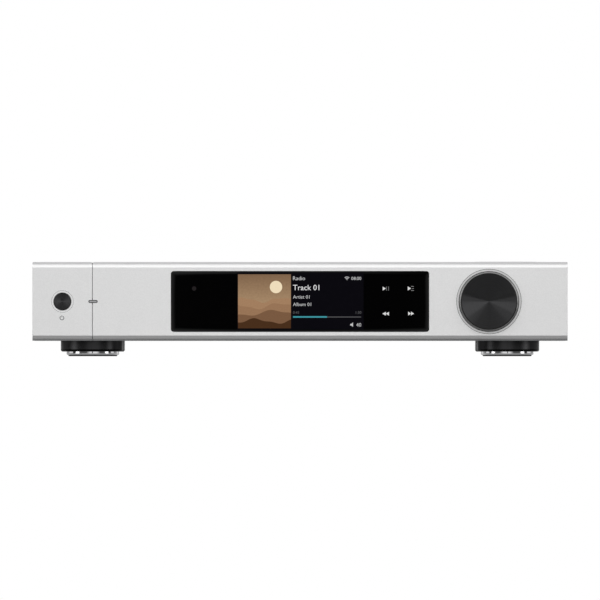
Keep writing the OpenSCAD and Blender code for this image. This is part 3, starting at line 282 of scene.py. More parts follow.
def grey(level):
    """A colour without hue."""
    return (level, level, level, 1)


# Effects that several finishes share

NOISE_LOW, NOISE_HIGH = 0.3, 0.7
GROOVES = 9000.0
RINGS = 2500.0


def effect(name, inputs, outputs):
    """An empty shader node group with named sockets, and its input and output nodes."""
    group = bpy.data.node_groups.new(name, "ShaderNodeTree")
    for label, kind, value in inputs:
        socket = group.interface.new_socket(label, in_out="INPUT", socket_type="NodeSocket" + kind)
        socket.default_value = value
    for label, kind in outputs:
        group.interface.new_socket(label, in_out="OUTPUT", socket_type="NodeSocket" + kind)
    return group, group.nodes.new("NodeGroupInput"), group.nodes.new("NodeGroupOutput")


def placed(tree, group, **inputs):
    """An effect placed in a material with its own values."""
    node = tree.nodes.new("ShaderNodeGroup")
    node.node_tree = group
    fill(tree, node, inputs)
    return node


def make_grain():
    """Grain: noise of a scale on Object coordinates, as a value between Low and High and as a height."""
    group, start, end = effect(
        "grain",
        [("Scale", "Float", 4000), ("Low", "Float", 0.4), ("High", "Float", 0.5)],
        [("Value", "Float"), ("Height", "Float")])
    place = surface_point(group)
    noise = add(group, "TexNoise", Vector=place, Scale=start.outputs["Scale"], Detail=3.0).outputs[0]
    value = ramp(group, noise, NOISE_LOW, NOISE_HIGH, start.outputs["Low"], start.outputs["High"])
    group.links.new(value, end.inputs["Value"])
    group.links.new(noise, end.inputs["Height"])
    return group


def make_mottle():
    """Mottle: a colour made lighter and darker by Spread, by noise of a scale on Object coordinates."""
    group, start, end = effect(
        "mottle",
        [("Colour", "Color", (0.5, 0.5, 0.5, 1)), ("Scale", "Float", 30), ("Spread", "Float", 0.05)],
        [("Colour", "Color")])
    place = surface_point(group)
    noise = add(group, "TexNoise", Vector=place, Scale=start.outputs["Scale"], Detail=5.0).outputs[0]
    middle = sums(group, "SUBTRACT", noise, 0.5)
    factor = sums(group, "MULTIPLY_ADD", middle, start.outputs["Spread"], 1.0)
    group.links.new(vectors(group, "SCALE", start.outputs["Colour"], Scale=factor), end.inputs["Colour"])
    return group


def make_box_mask():
    """Box mask: 1 where the point of the surface lies between the corners Low and High, else 0."""
    group, start, end = effect(
        "box_mask", [("Low", "Vector", (0, 0, 0)), ("High", "Vector", (0, 0, 0))], [("Mask", "Float")])
    low, high = start.outputs["Low"], start.outputs["High"]
    middle = vectors(group, "SCALE", vectors(group, "ADD", low, high), Scale=0.5)
    half = vectors(group, "SUBTRACT", high, middle)
    off = vectors(group, "ABSOLUTE", vectors(group, "SUBTRACT", surface_point(group), middle))
    past = add(group, "SeparateXYZ", Vector=vectors(group, "SUBTRACT", off, half)).outputs
    most = sums(group, "MAXIMUM", sums(group, "MAXIMUM", past[0], past[1]), past[2])
    group.links.new(sums(group, "LESS_THAN", most, 0.0), end.inputs["Mask"])
    return group


def from_axis(tree, centre):
    """The way to the point of the surface from a line along Y through a centre."""
    off = vectors(tree, "SUBTRACT", surface_point(tree), centre)
    return vectors(tree, "MULTIPLY", off, (1, 0, 1))


def make_rod_mask():
    """Rod mask: 1 where the point lies within Radius of the line along Y through Centre, else 0."""
    group, start, end = effect(
        "rod_mask", [("Centre", "Vector", (0, 0, 0)), ("Radius", "Float", 0.01)], [("Mask", "Float")])
    reach = vectors(group, "LENGTH", from_axis(group, start.outputs["Centre"]))
    group.links.new(sums(group, "LESS_THAN", reach, start.outputs["Radius"]), end.inputs["Mask"])
    return group


def make_spun():
    """Spun finish: a normal tilted by the slope Lean, as the flanks of fine turned grooves stand: within each
    groove, the share Inward leans to the Y axis through Centre and the rest away from it; also a value of
    fine rings."""
    group, start, end = effect(
        "spun",
        [("Centre", "Vector", (0, 0, 0)), ("Lean", "Float", 0.1), ("Inward", "Float", 0.5)],
        [("Normal", "Vector"), ("Ring", "Float")])
    level = from_axis(group, start.outputs["Centre"])
    outward = vectors(group, "NORMALIZE", level)
    reach = vectors(group, "LENGTH", level)
    phase = sums(group, "FRACT", sums(group, "MULTIPLY", reach, GROOVES))
    flank = sums(group, "GREATER_THAN", phase, start.outputs["Inward"])
    side = sums(group, "MULTIPLY_ADD", flank, 2.0, -1.0)
    slope = sums(group, "MULTIPLY", side, start.outputs["Lean"])
    tilted = vectors(group, "ADD", vectors(group, "SCALE", outward, Scale=slope), (0, -1, 0))
    to_world = {"vector_type": "NORMAL", "convert_from": "OBJECT", "convert_to": "WORLD"}
    world_normal = add(group, "VectorTransform", to_world, Vector=tilted).outputs[0]
    rings = add(group, "TexNoise", {"noise_dimensions": "1D"}, W=reach, Scale=RINGS, Detail=2.0)
    group.links.new(vectors(group, "NORMALIZE", world_normal), end.inputs["Normal"])
    group.links.new(rings.outputs[0], end.inputs["Ring"])
    return group


GRAIN = make_grain()
MOTTLE = make_mottle()
BOX_MASK = make_box_mask()
ROD_MASK = make_rod_mask()
SPUN = make_spun()


# Makers of finishes

def finish(name, **constants):
    """A material with one Principled shader, whose constants are set on its own sockets."""
    material = bpy.data.materials.new(name)
    material.use_nodes = True
    shader = material.node_tree.nodes["Principled BSDF"]
    for key, value in constants.items():
        shader.inputs[key.replace("_", " ")].default_value = value
    return material, material.node_tree, shader


def bumped(tree, shader, height_socket, strength, distance):
    """A bump from a height, on the shader's normal."""
    bump = add(tree, "Bump", Strength=strength, Distance=distance, Height=height_socket)
    tree.links.new(bump.outputs[0], shader.inputs["Normal"])


def overlaid(tree, masks, base):
    """A colour socket: base, overlaid in turn by each (mask socket, colour)."""
    socket = base
    for mask, colour in masks:
        socket = mixed(tree, mask, socket, colour)
    return socket


def grained(name, colour, rough, spread, patch, scale, bump, depth, areas=(), **constants):
    """A finish of one colour with mottle, grain in its roughness and a grain bump, overlaid by areas (mask
    maker, colour)."""
    material, tree, shader = finish(name, **constants)
    tint = placed(tree, MOTTLE, Colour=(*colour, 1), Scale=patch, Spread=spread)
    grain = placed(tree, GRAIN, Scale=scale, Low=rough[0], High=rough[1])
    masks = [(maker(tree), (*shade, 1)) for maker, shade in areas]
    tree.links.new(overlaid(tree, masks, tint.outputs[0]), shader.inputs["Base Color"])
    tree.links.new(grain.outputs["Value"], shader.inputs["Roughness"])
    bumped(tree, shader, grain.outputs["Height"], bump, depth)
    return material


def parts_of(name, base, rough, areas, metal=0.0):
    """A finish for a node of several materials: mottled base, overlaid by areas (mask maker, colour,
    metallic)."""
    material, tree, shader = finish(name)
    tint = placed(tree, MOTTLE, Colour=(*base, 1), Scale=200, Spread=0.15)
    grain = placed(tree, GRAIN, Scale=3000, Low=rough[0], High=rough[1])
    masks = [(maker(tree), colour, shine) for maker, colour, shine in areas]
    ground_metal = add(tree, "RGB").outputs[0]
    ground_metal.default_value = grey(metal)
    colour = overlaid(tree, [(m, (*c, 1)) for m, c, _ in masks], tint.outputs[0])
    metallic = overlaid(tree, [(m, grey(s)) for m, _, s in masks], ground_metal)
    tree.links.new(colour, shader.inputs["Base Color"])
    tree.links.new(metallic, shader.inputs["Metallic"])
    tree.links.new(grain.outputs["Value"], shader.inputs["Roughness"])
    bumped(tree, shader, grain.outputs["Height"], 0.1, 1e-5)
    return material


def in_box(low, high):
    """Maker of a box mask between two corners."""
    return lambda tree: placed(tree, BOX_MASK, Low=low, High=high).outputs["Mask"]


def in_rod(x, z, radius):
    """Maker of a mask of what lies within a radius of a line along Y."""
    return lambda tree: placed(tree, ROD_MASK, Centre=(x, 0, z), Radius=radius).outputs["Mask"]


def lit_finish(name):
    """A finish that only glows."""
    return finish(name, Base_Color=(0, 0, 0, 1), Roughness=0.4, Specular_IOR_Level=0.0, Emission_Strength=1.0)


def lit(name, colour, scale=900, spread=0.06):
    """A lit part of the screen: emission of a colour with the faint unevenness of a panel."""
    material, tree, shader = lit_finish(name)
    tint = placed(tree, MOTTLE, Colour=(*colour, 1), Scale=scale, Spread=spread)
    tree.links.new(tint.outputs[0], shader.inputs["Emission Color"])
    return material


SPUN_LEAN = 0.70
SPUN_ROUGH = (0.31, 0.37)
RING_SHADES = (0.88, 1.12)
BLUER = 1.03


def spun_black(name, axis, inward, radii, shades):
    """Black spun metal, its gloss stretched along the radius. The radii end the spun face, the plain ring
    round it, painted darker as painted shade, and the turned edge, beyond which is the wall. The shades are
    of face, edge and wall."""
    material, tree, shader = finish(name, Metallic=1.0, Anisotropic=1.0)
    base, edge, wall = shades
    centre = (axis[0], 0, axis[1])
    spun = placed(tree, SPUN, Centre=centre, Lean=SPUN_LEAN, Inward=inward)
    face, inside, front = [placed(tree, ROD_MASK, Centre=centre, Radius=r).outputs["Mask"] for r in radii]
    ring = ramp(tree, spun.outputs["Ring"], NOISE_LOW, NOISE_HIGH, *RING_SHADES)
    dark = vectors(tree, "SCALE", (base, base, base * BLUER), Scale=ring)
    outer = mixed(tree, front, grey(wall), grey(edge))
    # The ring between face and edge gets half the face's shade: painted shade
    band_painted_shade = mixed(tree, face, grey(base / 2), dark)
    colour = mixed(tree, inside, outer, band_painted_shade)
    tangent = add(tree, "Tangent", {"direction_type": "UV_MAP", "uv_map": "run"})
    plain = add(tree, "NewGeometry").outputs["Normal"]
    normal = add(tree, "Mix", {"data_type": "VECTOR"}, i0=face, i4=plain, i5=spun.outputs["Normal"])
    grain = placed(tree, GRAIN, Scale=2500, Low=SPUN_ROUGH[0], High=SPUN_ROUGH[1])
    tree.links.new(colour, shader.inputs["Base Color"])
    tree.links.new(grain.outputs["Value"], shader.inputs["Roughness"])
    tree.links.new(tangent.outputs[0], shader.inputs["Tangent"])
    tree.links.new(normal.outputs[1], shader.inputs["Normal"])
    return material


# Finishes of the CAD nodes, by the slots of the record

FAR = 1.0
# Near black painted into gaps and slits, and onto what shows through them: painted shadow
PAINTED_GAP_SHADOW = (0.03, 0.03, 0.03)
# A darker silver on the ring sunk round the knob: painted shade cast by the knob
PAINTED_RECESS_SHADOW = (0.73, 0.73, 0.73)
# Near black for the downward-facing lower edge of the feet: painted shade
PAINTED_LIP_SHADE = (0.008, 0.008, 0.008)
RECESS_DEPTH, GAP_DEPTH = 0.15 * MM, 0.35 * MM
SHELL_LIP = 5.6 * MM
# Below this height the subframe is painted near black, as painted shadow seen through the seam
SUBFRAME_SHADOW_TOP = 17.2 * MM
KNOB_REACH, BUTTON_REACH = 27 * MM, 11 * MM
SLIT_HALF, SLIT_FRONT, SLIT_BACK = 0.26 * MM, FACE_Y + 0.5 * MM, FACE_Y + 8 * MM
SLIT_LOW, SLIT_HIGH = 70 * MM, 80 * MM
PILL_X, PILL_Z, PILL_BACK = 2.9 * MM, 0.62 * MM, FACE_Y + 0.6 * MM


def in_gap(axis, reach, depth=GAP_DEPTH):
    """Maker of a mask of what lies deeper in the front, within reach of a control, than a depth: by default
    deeper than the ring sunk round its hole. It marks where painted shade goes round the controls."""
    low = (axis[0] - reach, FACE_Y + depth, axis[1] - reach)
    return in_box(low, (axis[0] + reach, FACE_Y + reach, axis[1] + reach))


def below(z):
    """Maker of a mask of what lies lower than a height."""
    return in_box((-FAR, -FAR, 0), (FAR, FAR, z))


# The ring sunk round the knob is painted darker: painted shade
KNOB_RECESS_SHADOW = (in_gap(KNOB_AXIS, KNOB_REACH, RECESS_DEPTH), PAINTED_RECESS_SHADOW)
# Near black in the gaps round the knob and the button: painted shadow
KNOB_GAP_SHADOW = (in_gap(KNOB_AXIS, KNOB_REACH), PAINTED_GAP_SHADOW)
BUTTON_GAP_SHADOW = (in_gap(BUTTON_AXIS, BUTTON_REACH), PAINTED_GAP_SHADOW)
# The slit of the seam in the cover is painted near black: painted shadow in the slit
SLIT_SHADOW_AREA = in_box((SEAM_X - SLIT_HALF, SLIT_FRONT, SLIT_LOW), (SEAM_X + SLIT_HALF, SLIT_BACK, SLIT_HIGH))
# The grey front core of the light pipe; the rest of it is black, as painted shadow in the gap round it
PILL_CORE = in_box(
    (LIGHT_X - PILL_X, -FAR, LIGHT_Z - PILL_Z), (LIGHT_X + PILL_X, PILL_BACK, LIGHT_Z + PILL_Z))

# Each grained finish: colour, least and most roughness, spread and scale of the mottle, scale of the grain,
# strength and depth of its bump
FINISHES = {
    # The front's silver is painted darker on the ring round the knob, and near black in the gaps round knob
    # and button: painted shade and painted shadow
    "silver_front": grained(
        "blasted_front", (0.85, 0.85, 0.85), (0.34, 0.4), 0.16, 1300, 5000, 0.15, 2e-5,
        Metallic=1.0, areas=[KNOB_RECESS_SHADOW, KNOB_GAP_SHADOW, BUTTON_GAP_SHADOW]),
    # The case's blasted silver is darker than the front's, as painted shade on the cover's front strip, which
    # the sides and rear share; the seam's slit in it is painted near black as painted shadow
    "silver_case": grained(
        "blasted_case", (0.735, 0.735, 0.737), (0.4, 0.46), 0.16, 1300, 5000, 0.15, 2e-5,
        Metallic=1.0, areas=[(SLIT_SHADOW_AREA, PAINTED_GAP_SHADOW)]),
    "dark_plate": grained("dark_paint", (0.20, 0.201, 0.205), (0.5, 0.62), 0.12, 80, 1800, 0.25, 5e-5),
    "antenna_plastic": grained(
        "antenna_plastic", (0.60, 0.60, 0.61), (0.45, 0.55), 0.04, 40, 3500, 0.2, 3e-5),
    # The lowest band of the black anodised feet is painted near black: painted shade on their downward-facing
    # rounded edge
    "black_anodised": grained(
        "black_anodised", (0.036, 0.036, 0.037), (0.28, 0.34), 0.2, 60, 5000, 0.12, 1e-5,
        Metallic=1.0, Specular_Tint=(0.7, 0.7, 0.7, 1), areas=[(below(SHELL_LIP), PAINTED_LIP_SHADE)]),
    "polished_ring": grained(
        "polished_ring", (0.64, 0.64, 0.65), (0.04, 0.07), 0.02, 50, 2500, 0.01, 2e-6, Metallic=1.0),
    "foot_rubber": grained("foot_rubber", (0.022, 0.022, 0.023), (0.7, 0.85), 0.3, 120, 2200, 0.4, 6e-5),
    "black_plastic": grained("black_plastic", (0.018, 0.018, 0.02), (0.4, 0.52), 0.2, 90, 3000, 0.3, 3e-5),
    "rocker_plastic": grained(
        "rocker_plastic", (0.03, 0.03, 0.033), (0.28, 0.36), 0.15, 90, 3000, 0.12, 2e-5),
    "dark_module": grained("dark_module", (0.05, 0.055, 0.06), (0.35, 0.5), 0.15, 70, 2500, 0.1, 2e-5),
    # The light pipe is near black but for a grey core at its front: the black of its ends and deeper parts is
    # painted shadow
    "light_pipe": grained(
        "light_pipe", (0.005, 0.005, 0.005), (0.3, 0.4), 0.08, 400, 3500, 0.1, 1e-5,
        areas=[(PILL_CORE, (0.42, 0.42, 0.425))]),
    "plated_steel": grained(
        "plated_steel", (0.56, 0.56, 0.58), (0.28, 0.4), 0.08, 60, 2000, 0.06, 1e-5, Metallic=1.0),
    "white_plastic": grained("white_plastic", (0.72, 0.71, 0.68), (0.42, 0.5), 0.05, 60, 2500, 0.15, 2e-5),
    "gold_plate": grained(
        "gold_plate", (0.83, 0.62, 0.28), (0.16, 0.24), 0.06, 80, 2500, 0.04, 6e-6, Metallic=1.0),
    "core_iron": grained("core_iron", (0.09, 0.085, 0.08), (0.5, 0.7), 0.3, 90, 900, 0.5, 1e-4),
    "standoff_brass": grained(
        "standoff_brass", (0.68, 0.53, 0.27), (0.25, 0.38), 0.1, 80, 2000, 0.08, 1e-5, Metallic=1.0),
    "lead_plastic": grained("lead_plastic", (0.05, 0.05, 0.055), (0.45, 0.6), 0.2, 100, 1500, 0.2, 4e-5),
    "dark_screws": grained(
        "dark_screws", (0.10, 0.10, 0.105), (0.3, 0.42), 0.15, 90, 2500, 0.08, 1e-5, Metallic=1.0),
    "circuit_board": grained("circuit_board", (0.015, 0.10, 0.045), (0.35, 0.5), 0.3, 400, 1500, 0.2, 3e-5),
    "black_glass": grained(
        "black_glass", (0.0004, 0.0004, 0.0005), (0.02, 0.03), 0.2, 40, 800, 0.0, 1e-6,
        Specular_IOR_Level=0.25),
}

for node in nodes.values():
    slot = node.material_slots[0].material.name.split(".")[0]
    node.material_slots[0].material = FINISHES[slot]
# The subframe, seen only through the gaps, is painted near black behind the knob and button and along its
# lower part: painted shadow in the gaps
nodes["front_subframe"].material_slots[0].material = grained(
    "subframe_steel", (0.56, 0.56, 0.58), (0.2, 0.24), 0.08, 60, 2000, 0.03, 1e-5,
    Metallic=1.0, areas=[KNOB_GAP_SHADOW, BUTTON_GAP_SHADOW, (below(SUBFRAME_SHADOW_TOP), PAINTED_GAP_SHADOW)])

# Sockets on the rear, each of several materials: shell, insulation, contacts
JACK_Z, JACK_HALF, JACK_INNER, JACK_BORE = 35.6 * MM, 6 * MM, 3.45 * MM, 1.7 * MM
COLLAR_BACK, COLLAR_Y = REAR_Y - 3 * MM, REAR_Y + 1.25 * MM
BALANCED_XS, BALANCED_Z, BALANCED_R = (146 * MM, 182 * MM), 42.6 * MM, 9.45 * MM
CONTACT_CIRCLE, CONTACT_R = 4.7 * MM, 1.3 * MM
INLET_X, INLET_Z = -184.85 * MM, 35.15 * MM
BLADE_STEP, BLADE_HALF, BLADE_TALL = 7 * MM, 1.1 * MM, 5 * MM
BLADE_BACK, BLADE_FRONT = REAR_Y - 15.2 * MM, REAR_Y - 0.5 * MM
SOCKET_FACE = REAR_Y - 0.4 * MM
LAN_X, LAN_HALF, LAN_ZS = -82 * MM, 6 * MM, (27.4 * MM, 38.4 * MM)
LAN_PINS, LAN_PIN_ZS = 4.2 * MM, (36.85 * MM, 37.48 * MM)
USB_X, USB_HALF, USB_TALL, USB_ZS = -37 * MM, 6.25 * MM, 2.5 * MM, (30.2 * MM, 37.1 * MM)
BLACK, CREAM = (0.016, 0.016, 0.017), (0.72, 0.70, 0.66)
RED, ORANGE = (0.42, 0.012, 0.012), (0.62, 0.16, 0.01)
GOLD, BORE_GOLD_PAINTED_SHADE, NICKEL = (0.83, 0.62, 0.28), (0.25, 0.19, 0.09), (0.62, 0.61, 0.59)


def round_jack(name, x, shade):
    """Finish of a round jack: a coloured collar and core, a gold barrel beyond the collar and a bore of
    darker gold, painted shade in its hole.
    """
    left, right, low, high = x - JACK_HALF, x + JACK_HALF, JACK_Z - JACK_HALF, JACK_Z + JACK_HALF
    return parts_of(name, BLACK, (0.2, 0.3), [
        (in_box((left, COLLAR_BACK, low), (right, COLLAR_Y, high)), shade, 0.0),
        (in_box((left, COLLAR_Y, low), (right, FAR, high)), GOLD, 1.0),
        (in_rod(x, JACK_Z, JACK_INNER), shade, 0.0),
        # The bore is gold painted darker: painted shade in the hole
        (in_rod(x, JACK_Z, JACK_BORE), BORE_GOLD_PAINTED_SHADE, 1.0),
    ])


def balanced_jack(name, x):
    """Finish of a balanced jack: a nickel rim, a black well and three gold contacts on a circle."""
    areas = [(in_rod(x, BALANCED_Z, BALANCED_R), BLACK, 0.0)]
    for turn in np.radians([30, 150, 270]):
        contact_x = float(x + CONTACT_CIRCLE * np.cos(turn))
        contact_z = float(BALANCED_Z + CONTACT_CIRCLE * np.sin(turn))
        areas.append((in_rod(contact_x, contact_z, CONTACT_R), GOLD, 1.0))
    return parts_of(name, NICKEL, (0.26, 0.36), areas, metal=1.0)


def socket_hollow(x, half, low, high):
    """Maker of a mask of the hollow of a socket behind its face."""
    return in_box((x - half, 0, low), (x + half, SOCKET_FACE, high))


BLADE_XS = [INLET_X + k * BLADE_STEP for k in (-1, 0, 1)]
SOCKETS = {
    "line_jack_left": round_jack("jack_white", 111 * MM, CREAM),
    "line_jack_right": round_jack("jack_red", 89 * MM, RED),
    "coax_jack": round_jack("jack_orange", 39 * MM, ORANGE),
    "balanced_jack_left": balanced_jack("balanced_left", BALANCED_XS[1]),
    "balanced_jack_right": balanced_jack("balanced_right", BALANCED_XS[0]),
    "mains_inlet": parts_of("inlet_black", BLACK, (0.36, 0.48), [
        (in_box((x - BLADE_HALF, BLADE_BACK, INLET_Z - BLADE_TALL),
                (x + BLADE_HALF, BLADE_FRONT, INLET_Z + BLADE_TALL)), NICKEL, 1.0) for x in BLADE_XS
    ]),
    "lan_jack": parts_of("network_steel", NICKEL, (0.25, 0.36), [
        (socket_hollow(LAN_X, LAN_HALF, *LAN_ZS), BLACK, 0.0),
        (socket_hollow(LAN_X, LAN_PINS, *LAN_PIN_ZS), GOLD, 1.0),
    ], metal=1.0),
    "usb_jack": parts_of("usb_steel", NICKEL, (0.25, 0.36), [
        (socket_hollow(USB_X, USB_HALF, z - USB_TALL, z + USB_TALL), BLACK, 0.0) for z in USB_ZS
    ], metal=1.0),
}
for name, look in SOCKETS.items():
    nodes[name].material_slots[0].material = look


# Volume knob and standby button: turned again, so that the gloss can follow their grooves

KNOB_R = (KNOB_HIGH.x - KNOB_LOW.x) / 2
KNOB_FACE, KNOB_EDGE = 21.9 * MM, 22.7 * MM
KNOB_WALL_IN, KNOB_TOP, HUB_R, SHAFT_R = KNOB_R - 3.4 * MM, 3.5 * MM, 6 * MM, 3.1 * MM
knob_y, hub_y = KNOB_LOW.y, KNOB_HIGH.y - 4 * MM
knob_profile = np.array([
    [0, knob_y], [5 * MM, knob_y], [10 * MM, knob_y], [16 * MM, knob_y], [KNOB_FACE, knob_y],
    [KNOB_EDGE, knob_y + 0.22 * MM], [KNOB_R - 0.2 * MM, knob_y + 1.2 * MM], [KNOB_R, knob_y + 1.6 * MM],
    [KNOB_R, KNOB_HIGH.y], [KNOB_WALL_IN, KNOB_HIGH.y], [KNOB_WALL_IN, knob_y + KNOB_TOP],
    [HUB_R, knob_y + KNOB_TOP], [HUB_R, hub_y], [SHAFT_R, hub_y],
    [SHAFT_R, knob_y + 4 * MM], [0, knob_y + 4 * MM],
])
KNOB_RADII = (KNOB_FACE, KNOB_EDGE, KNOB_R - 0.1 * MM)
KNOB_FINISH = spun_black("knob_spun", KNOB_AXIS, 1.0, KNOB_RADII, (0.050, 0.27, 0.5))
knob = turned("volume_knob_turned", knob_profile, KNOB_AXIS, KNOB_FINISH, "volume")
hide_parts("volume_knob")

FLANGE_R = (BUTTON_HIGH.x - BUTTON_LOW.x) / 2
BUTTON_R = FLANGE_R - 1.4 * MM
BUTTON_FACE = BUTTON_R - 0.45 * MM
FLANGE_Y = FACE_Y + 7.1 * MM
STEM_R = 1.5 * MM
button_y = BUTTON_LOW.y
button_profile = np.array([
    [0, button_y], [2 * MM, button_y], [4.5 * MM, button_y], [BUTTON_FACE, button_y],
    [BUTTON_R, button_y + 0.5 * MM], [BUTTON_R, FLANGE_Y], [FLANGE_R, FLANGE_Y], [FLANGE_R, FLANGE_Y + MM],
    [STEM_R, FLANGE_Y + MM], [STEM_R, BUTTON_HIGH.y], [0, BUTTON_HIGH.y],
])
BUTTON_RADII = (BUTTON_FACE, BUTTON_R - 0.4 * MM, BUTTON_R)
BUTTON_FINISH = spun_black("button_spun", BUTTON_AXIS, 0.5, BUTTON_RADII, (0.057, 0.05, 0.05))
button = turned(
    "standby_button_turned", button_profile, BUTTON_AXIS, BUTTON_FINISH, "standby",
    steps=128)
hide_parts("standby_button")


# Display glass: a rounded plate whose front bends back along its rim

GLASS_RIM = 4 * MM
GLASS_DROP = 0.022 * MM
GLASS_W = GLASS_HIGH.x - GLASS_LOW.x
GLASS_H = GLASS_HIGH.z - GLASS_LOW.z
GLASS_R, LEAST_R = 2.2 * MM, 0.02 * MM
GLASS_Z = (GLASS_LOW.z + GLASS_HIGH.z) / 2


def glass_loops(rings=12):
    """Loops of the glass: the back edge, then rings of the front, each inset by d and set back by
    drop (1 - d/rim)^2."""
    inset = GLASS_RIM * np.linspace(0, 1, rings)
    back = GLASS_DROP * (1 - inset / GLASS_RIM) ** 2
    loops = [np.insert(rounded_loop(GLASS_W, GLASS_H, GLASS_R), 1, GLASS_HIGH.y, axis=1)]
    for d, b in zip(inset, back):
        ring = rounded_loop(GLASS_W - 2 * d, GLASS_H - 2 * d, max(GLASS_R - d, LEAST_R))
        loops.append(np.insert(ring, 1, GLASS_LOW.y + b, axis=1))
    points = np.stack(loops)
    points[..., 2] += GLASS_Z
    return points


glass_points = glass_loops()
rows, columns = glass_points.shape[:2]
glass_faces = grid_faces(rows, columns, round_columns=True).tolist()
glass_faces += [list(range(columns)), list(range((rows - 1) * columns, rows * columns))]
glass = piece(
    "display_glass_curved", glass_points, glass_faces, FINISHES["black_glass"], "chassis",
    sharp=40)
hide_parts("display_glass")


# What shows on the glass: the lit screen and the signs of the touch keys, in layers before it

LAYER = 0.02 * MM
SKIN = GLASS_LOW.y - LAYER
INK = SKIN - LAYER

SCREEN_LIT = lit("screen_dark", (0.0034, 0.0031, 0.0048), 300, 0.3)
TEXT_LIT = lit("screen_white", (0.78, 0.78, 0.79))
SMALL_LIT = lit("screen_pale", (0.56, 0.56, 0.57))
DIM_LIT = lit("screen_grey", (0.10, 0.10, 0.105))
BAR_LIT = lit("screen_teal", (0.05, 0.30, 0.35))
KEY_LIT = lit("key_white", (0.70, 0.70, 0.70))
KEY_DIM = lit("key_grey", (0.30, 0.30, 0.30))


def flat_line(value):
    """A level curve."""
    return lambda x: np.full(x.shape, value)


def panel(name, area, y, look, columns, rows):
    """A flat panel over a rectangle of the photograph: left, top, right, bottom."""
    left, top, right, bottom = area
    low, high = flat_line(height(bottom)), flat_line(height(top))
    x, z = between(low, high, across(left), across(right), columns, rows)
    return flat_sheet(name, x, z, y, look)


panel("screen_field", (237.2, 272.4, 363.6, 329.6), SKIN, SCREEN_LIT, 40, 18)

# The picture on the screen: sand hills under a pale sun, each hill the area under a sum of sines
PICTURE = (238.0, 274.3, 290.9, 328.4)
SKY_FOOT, SKY_TOP = (0.52, 0.35, 0.20), (0.21, 0.125, 0.07)
SUN_PLACE, SUN_R = (276, 287), 6.2 * PIXEL
picture_left, picture_right = across(PICTURE[0]), across(PICTURE[2])
picture_foot = flat_line(height(PICTURE[3]))


def hill(base, swing, waves, phase):
    """Upper edge of a hill: a level with a long and a short sine along the picture, phase in turns."""
    def edge(x):
        u = (x - picture_left) / (picture_right - picture_left)
        long = np.sin(2 * pi * (waves * u + phase))
        short = np.sin(2 * pi * (2.3 * waves * u + 1.7 * phase))
        return height(base) + swing * PIXEL * (long + 0.35 * short)
    return edge


def sky(name, low, high):
    """A lit finish that goes from one colour at the foot of the picture to another at its top."""
    material, tree, shader = lit_finish(name)
    z = add(tree, "SeparateXYZ", Vector=surface_point(tree)).outputs[2]
    up = ramp(tree, z, float(height(PICTURE[3])), float(height(PICTURE[1])))
    shade = mixed(tree, up, (*low, 1), (*high, 1))
    tint = placed(tree, MOTTLE, Colour=shade, Scale=700, Spread=0.35)
    tree.links.new(tint.outputs[0], shader.inputs["Emission Color"])
    return material


panel("picture_sky", PICTURE, INK, sky("picture_sky", SKY_FOOT, SKY_TOP), 30, 20)
sun_t = np.linspace(0, 2 * pi, 40)[None, :]
sun_r = np.linspace(0.02, 1, 6)[:, None] * SUN_R
sun_x = across(SUN_PLACE[0]) + sun_r * np.cos(-sun_t)
sun_z = height(SUN_PLACE[1]) + sun_r * np.sin(-sun_t)
flat_sheet("picture_sun", sun_x, sun_z, SKIN - 2 * LAYER, lit("picture_sun", (0.86, 0.72, 0.50)))
HILLS = [
    ("picture_hill_far", (300, 2.2, 1.4, 0.10), (0.36, 0.21, 0.115)),
    ("picture_hill_high", (306, 2.8, 1.1, 0.38), (0.31, 0.175, 0.095)),
    ("picture_hill_middle", (313, 2.6, 0.9, 0.62), (0.19, 0.10, 0.053)),
    ("picture_hill_near", (321, 2.2, 1.2, 0.86), (0.064, 0.028, 0.012)),
]
for step, (name, shape, colour) in enumerate(HILLS):
    x, z = between(picture_foot, hill(*shape), picture_left, picture_right)
    flat_sheet(name, x, z, SKIN - (3 + step) * LAYER, lit(name, colour, 1500, 0.5))

screen_text("screen_text_white", [("Track 01", 293, 284.8, 290.2, "left")], INK, TEXT_LIT)
screen_text("screen_text_pale", [
    ("Radio", 293, 276.4, 280.2, "left"),
    ("08:00", 361.2, 276.8, 280.0, "right"),
    ("Artist 01", 293, 295.2, 298.6, "left"),
    ("Album 01", 293, 302.6, 306.0, "left"),
    ("40", 361.2, 323.0, 326.6, "right"),
], INK, SMALL_LIT)
screen_text("screen_text_grey", [
    ("0:45", 293, 311.2, 313.8, "left"),
    ("1:30", 361.3, 311.2, 313.8, "right"),
], INK, DIM_LIT)
panel("screen_bar_played", (293, 316.15, 327, 317.7), INK, BAR_LIT, 20, 4)
panel("screen_bar_left", (327, 316.6, 361.0, 317.4), INK, DIM_LIT, 20, 4)

fan = np.array([across(347.0), height(280.1)])
speaker = [[351.4, 325.5], [353.0, 326.9], [353.0, 322.5], [351.4, 323.9]]
signs("screen_icons", [
    arc_sign(fan, 2.9 * PIXEL, 3.5 * PIXEL, 45, 135),
    arc_sign(fan, 1.6 * PIXEL, 2.2 * PIXEL, 45, 135),
    arc_sign(fan, 0.0, 0.8 * PIXEL, 45, 135, 12),
    box_sign(350.2, 323.9, 351.4, 325.5),
    np.array([[across(column), height(row)] for column, row in speaker]),
], INK, SMALL_LIT)

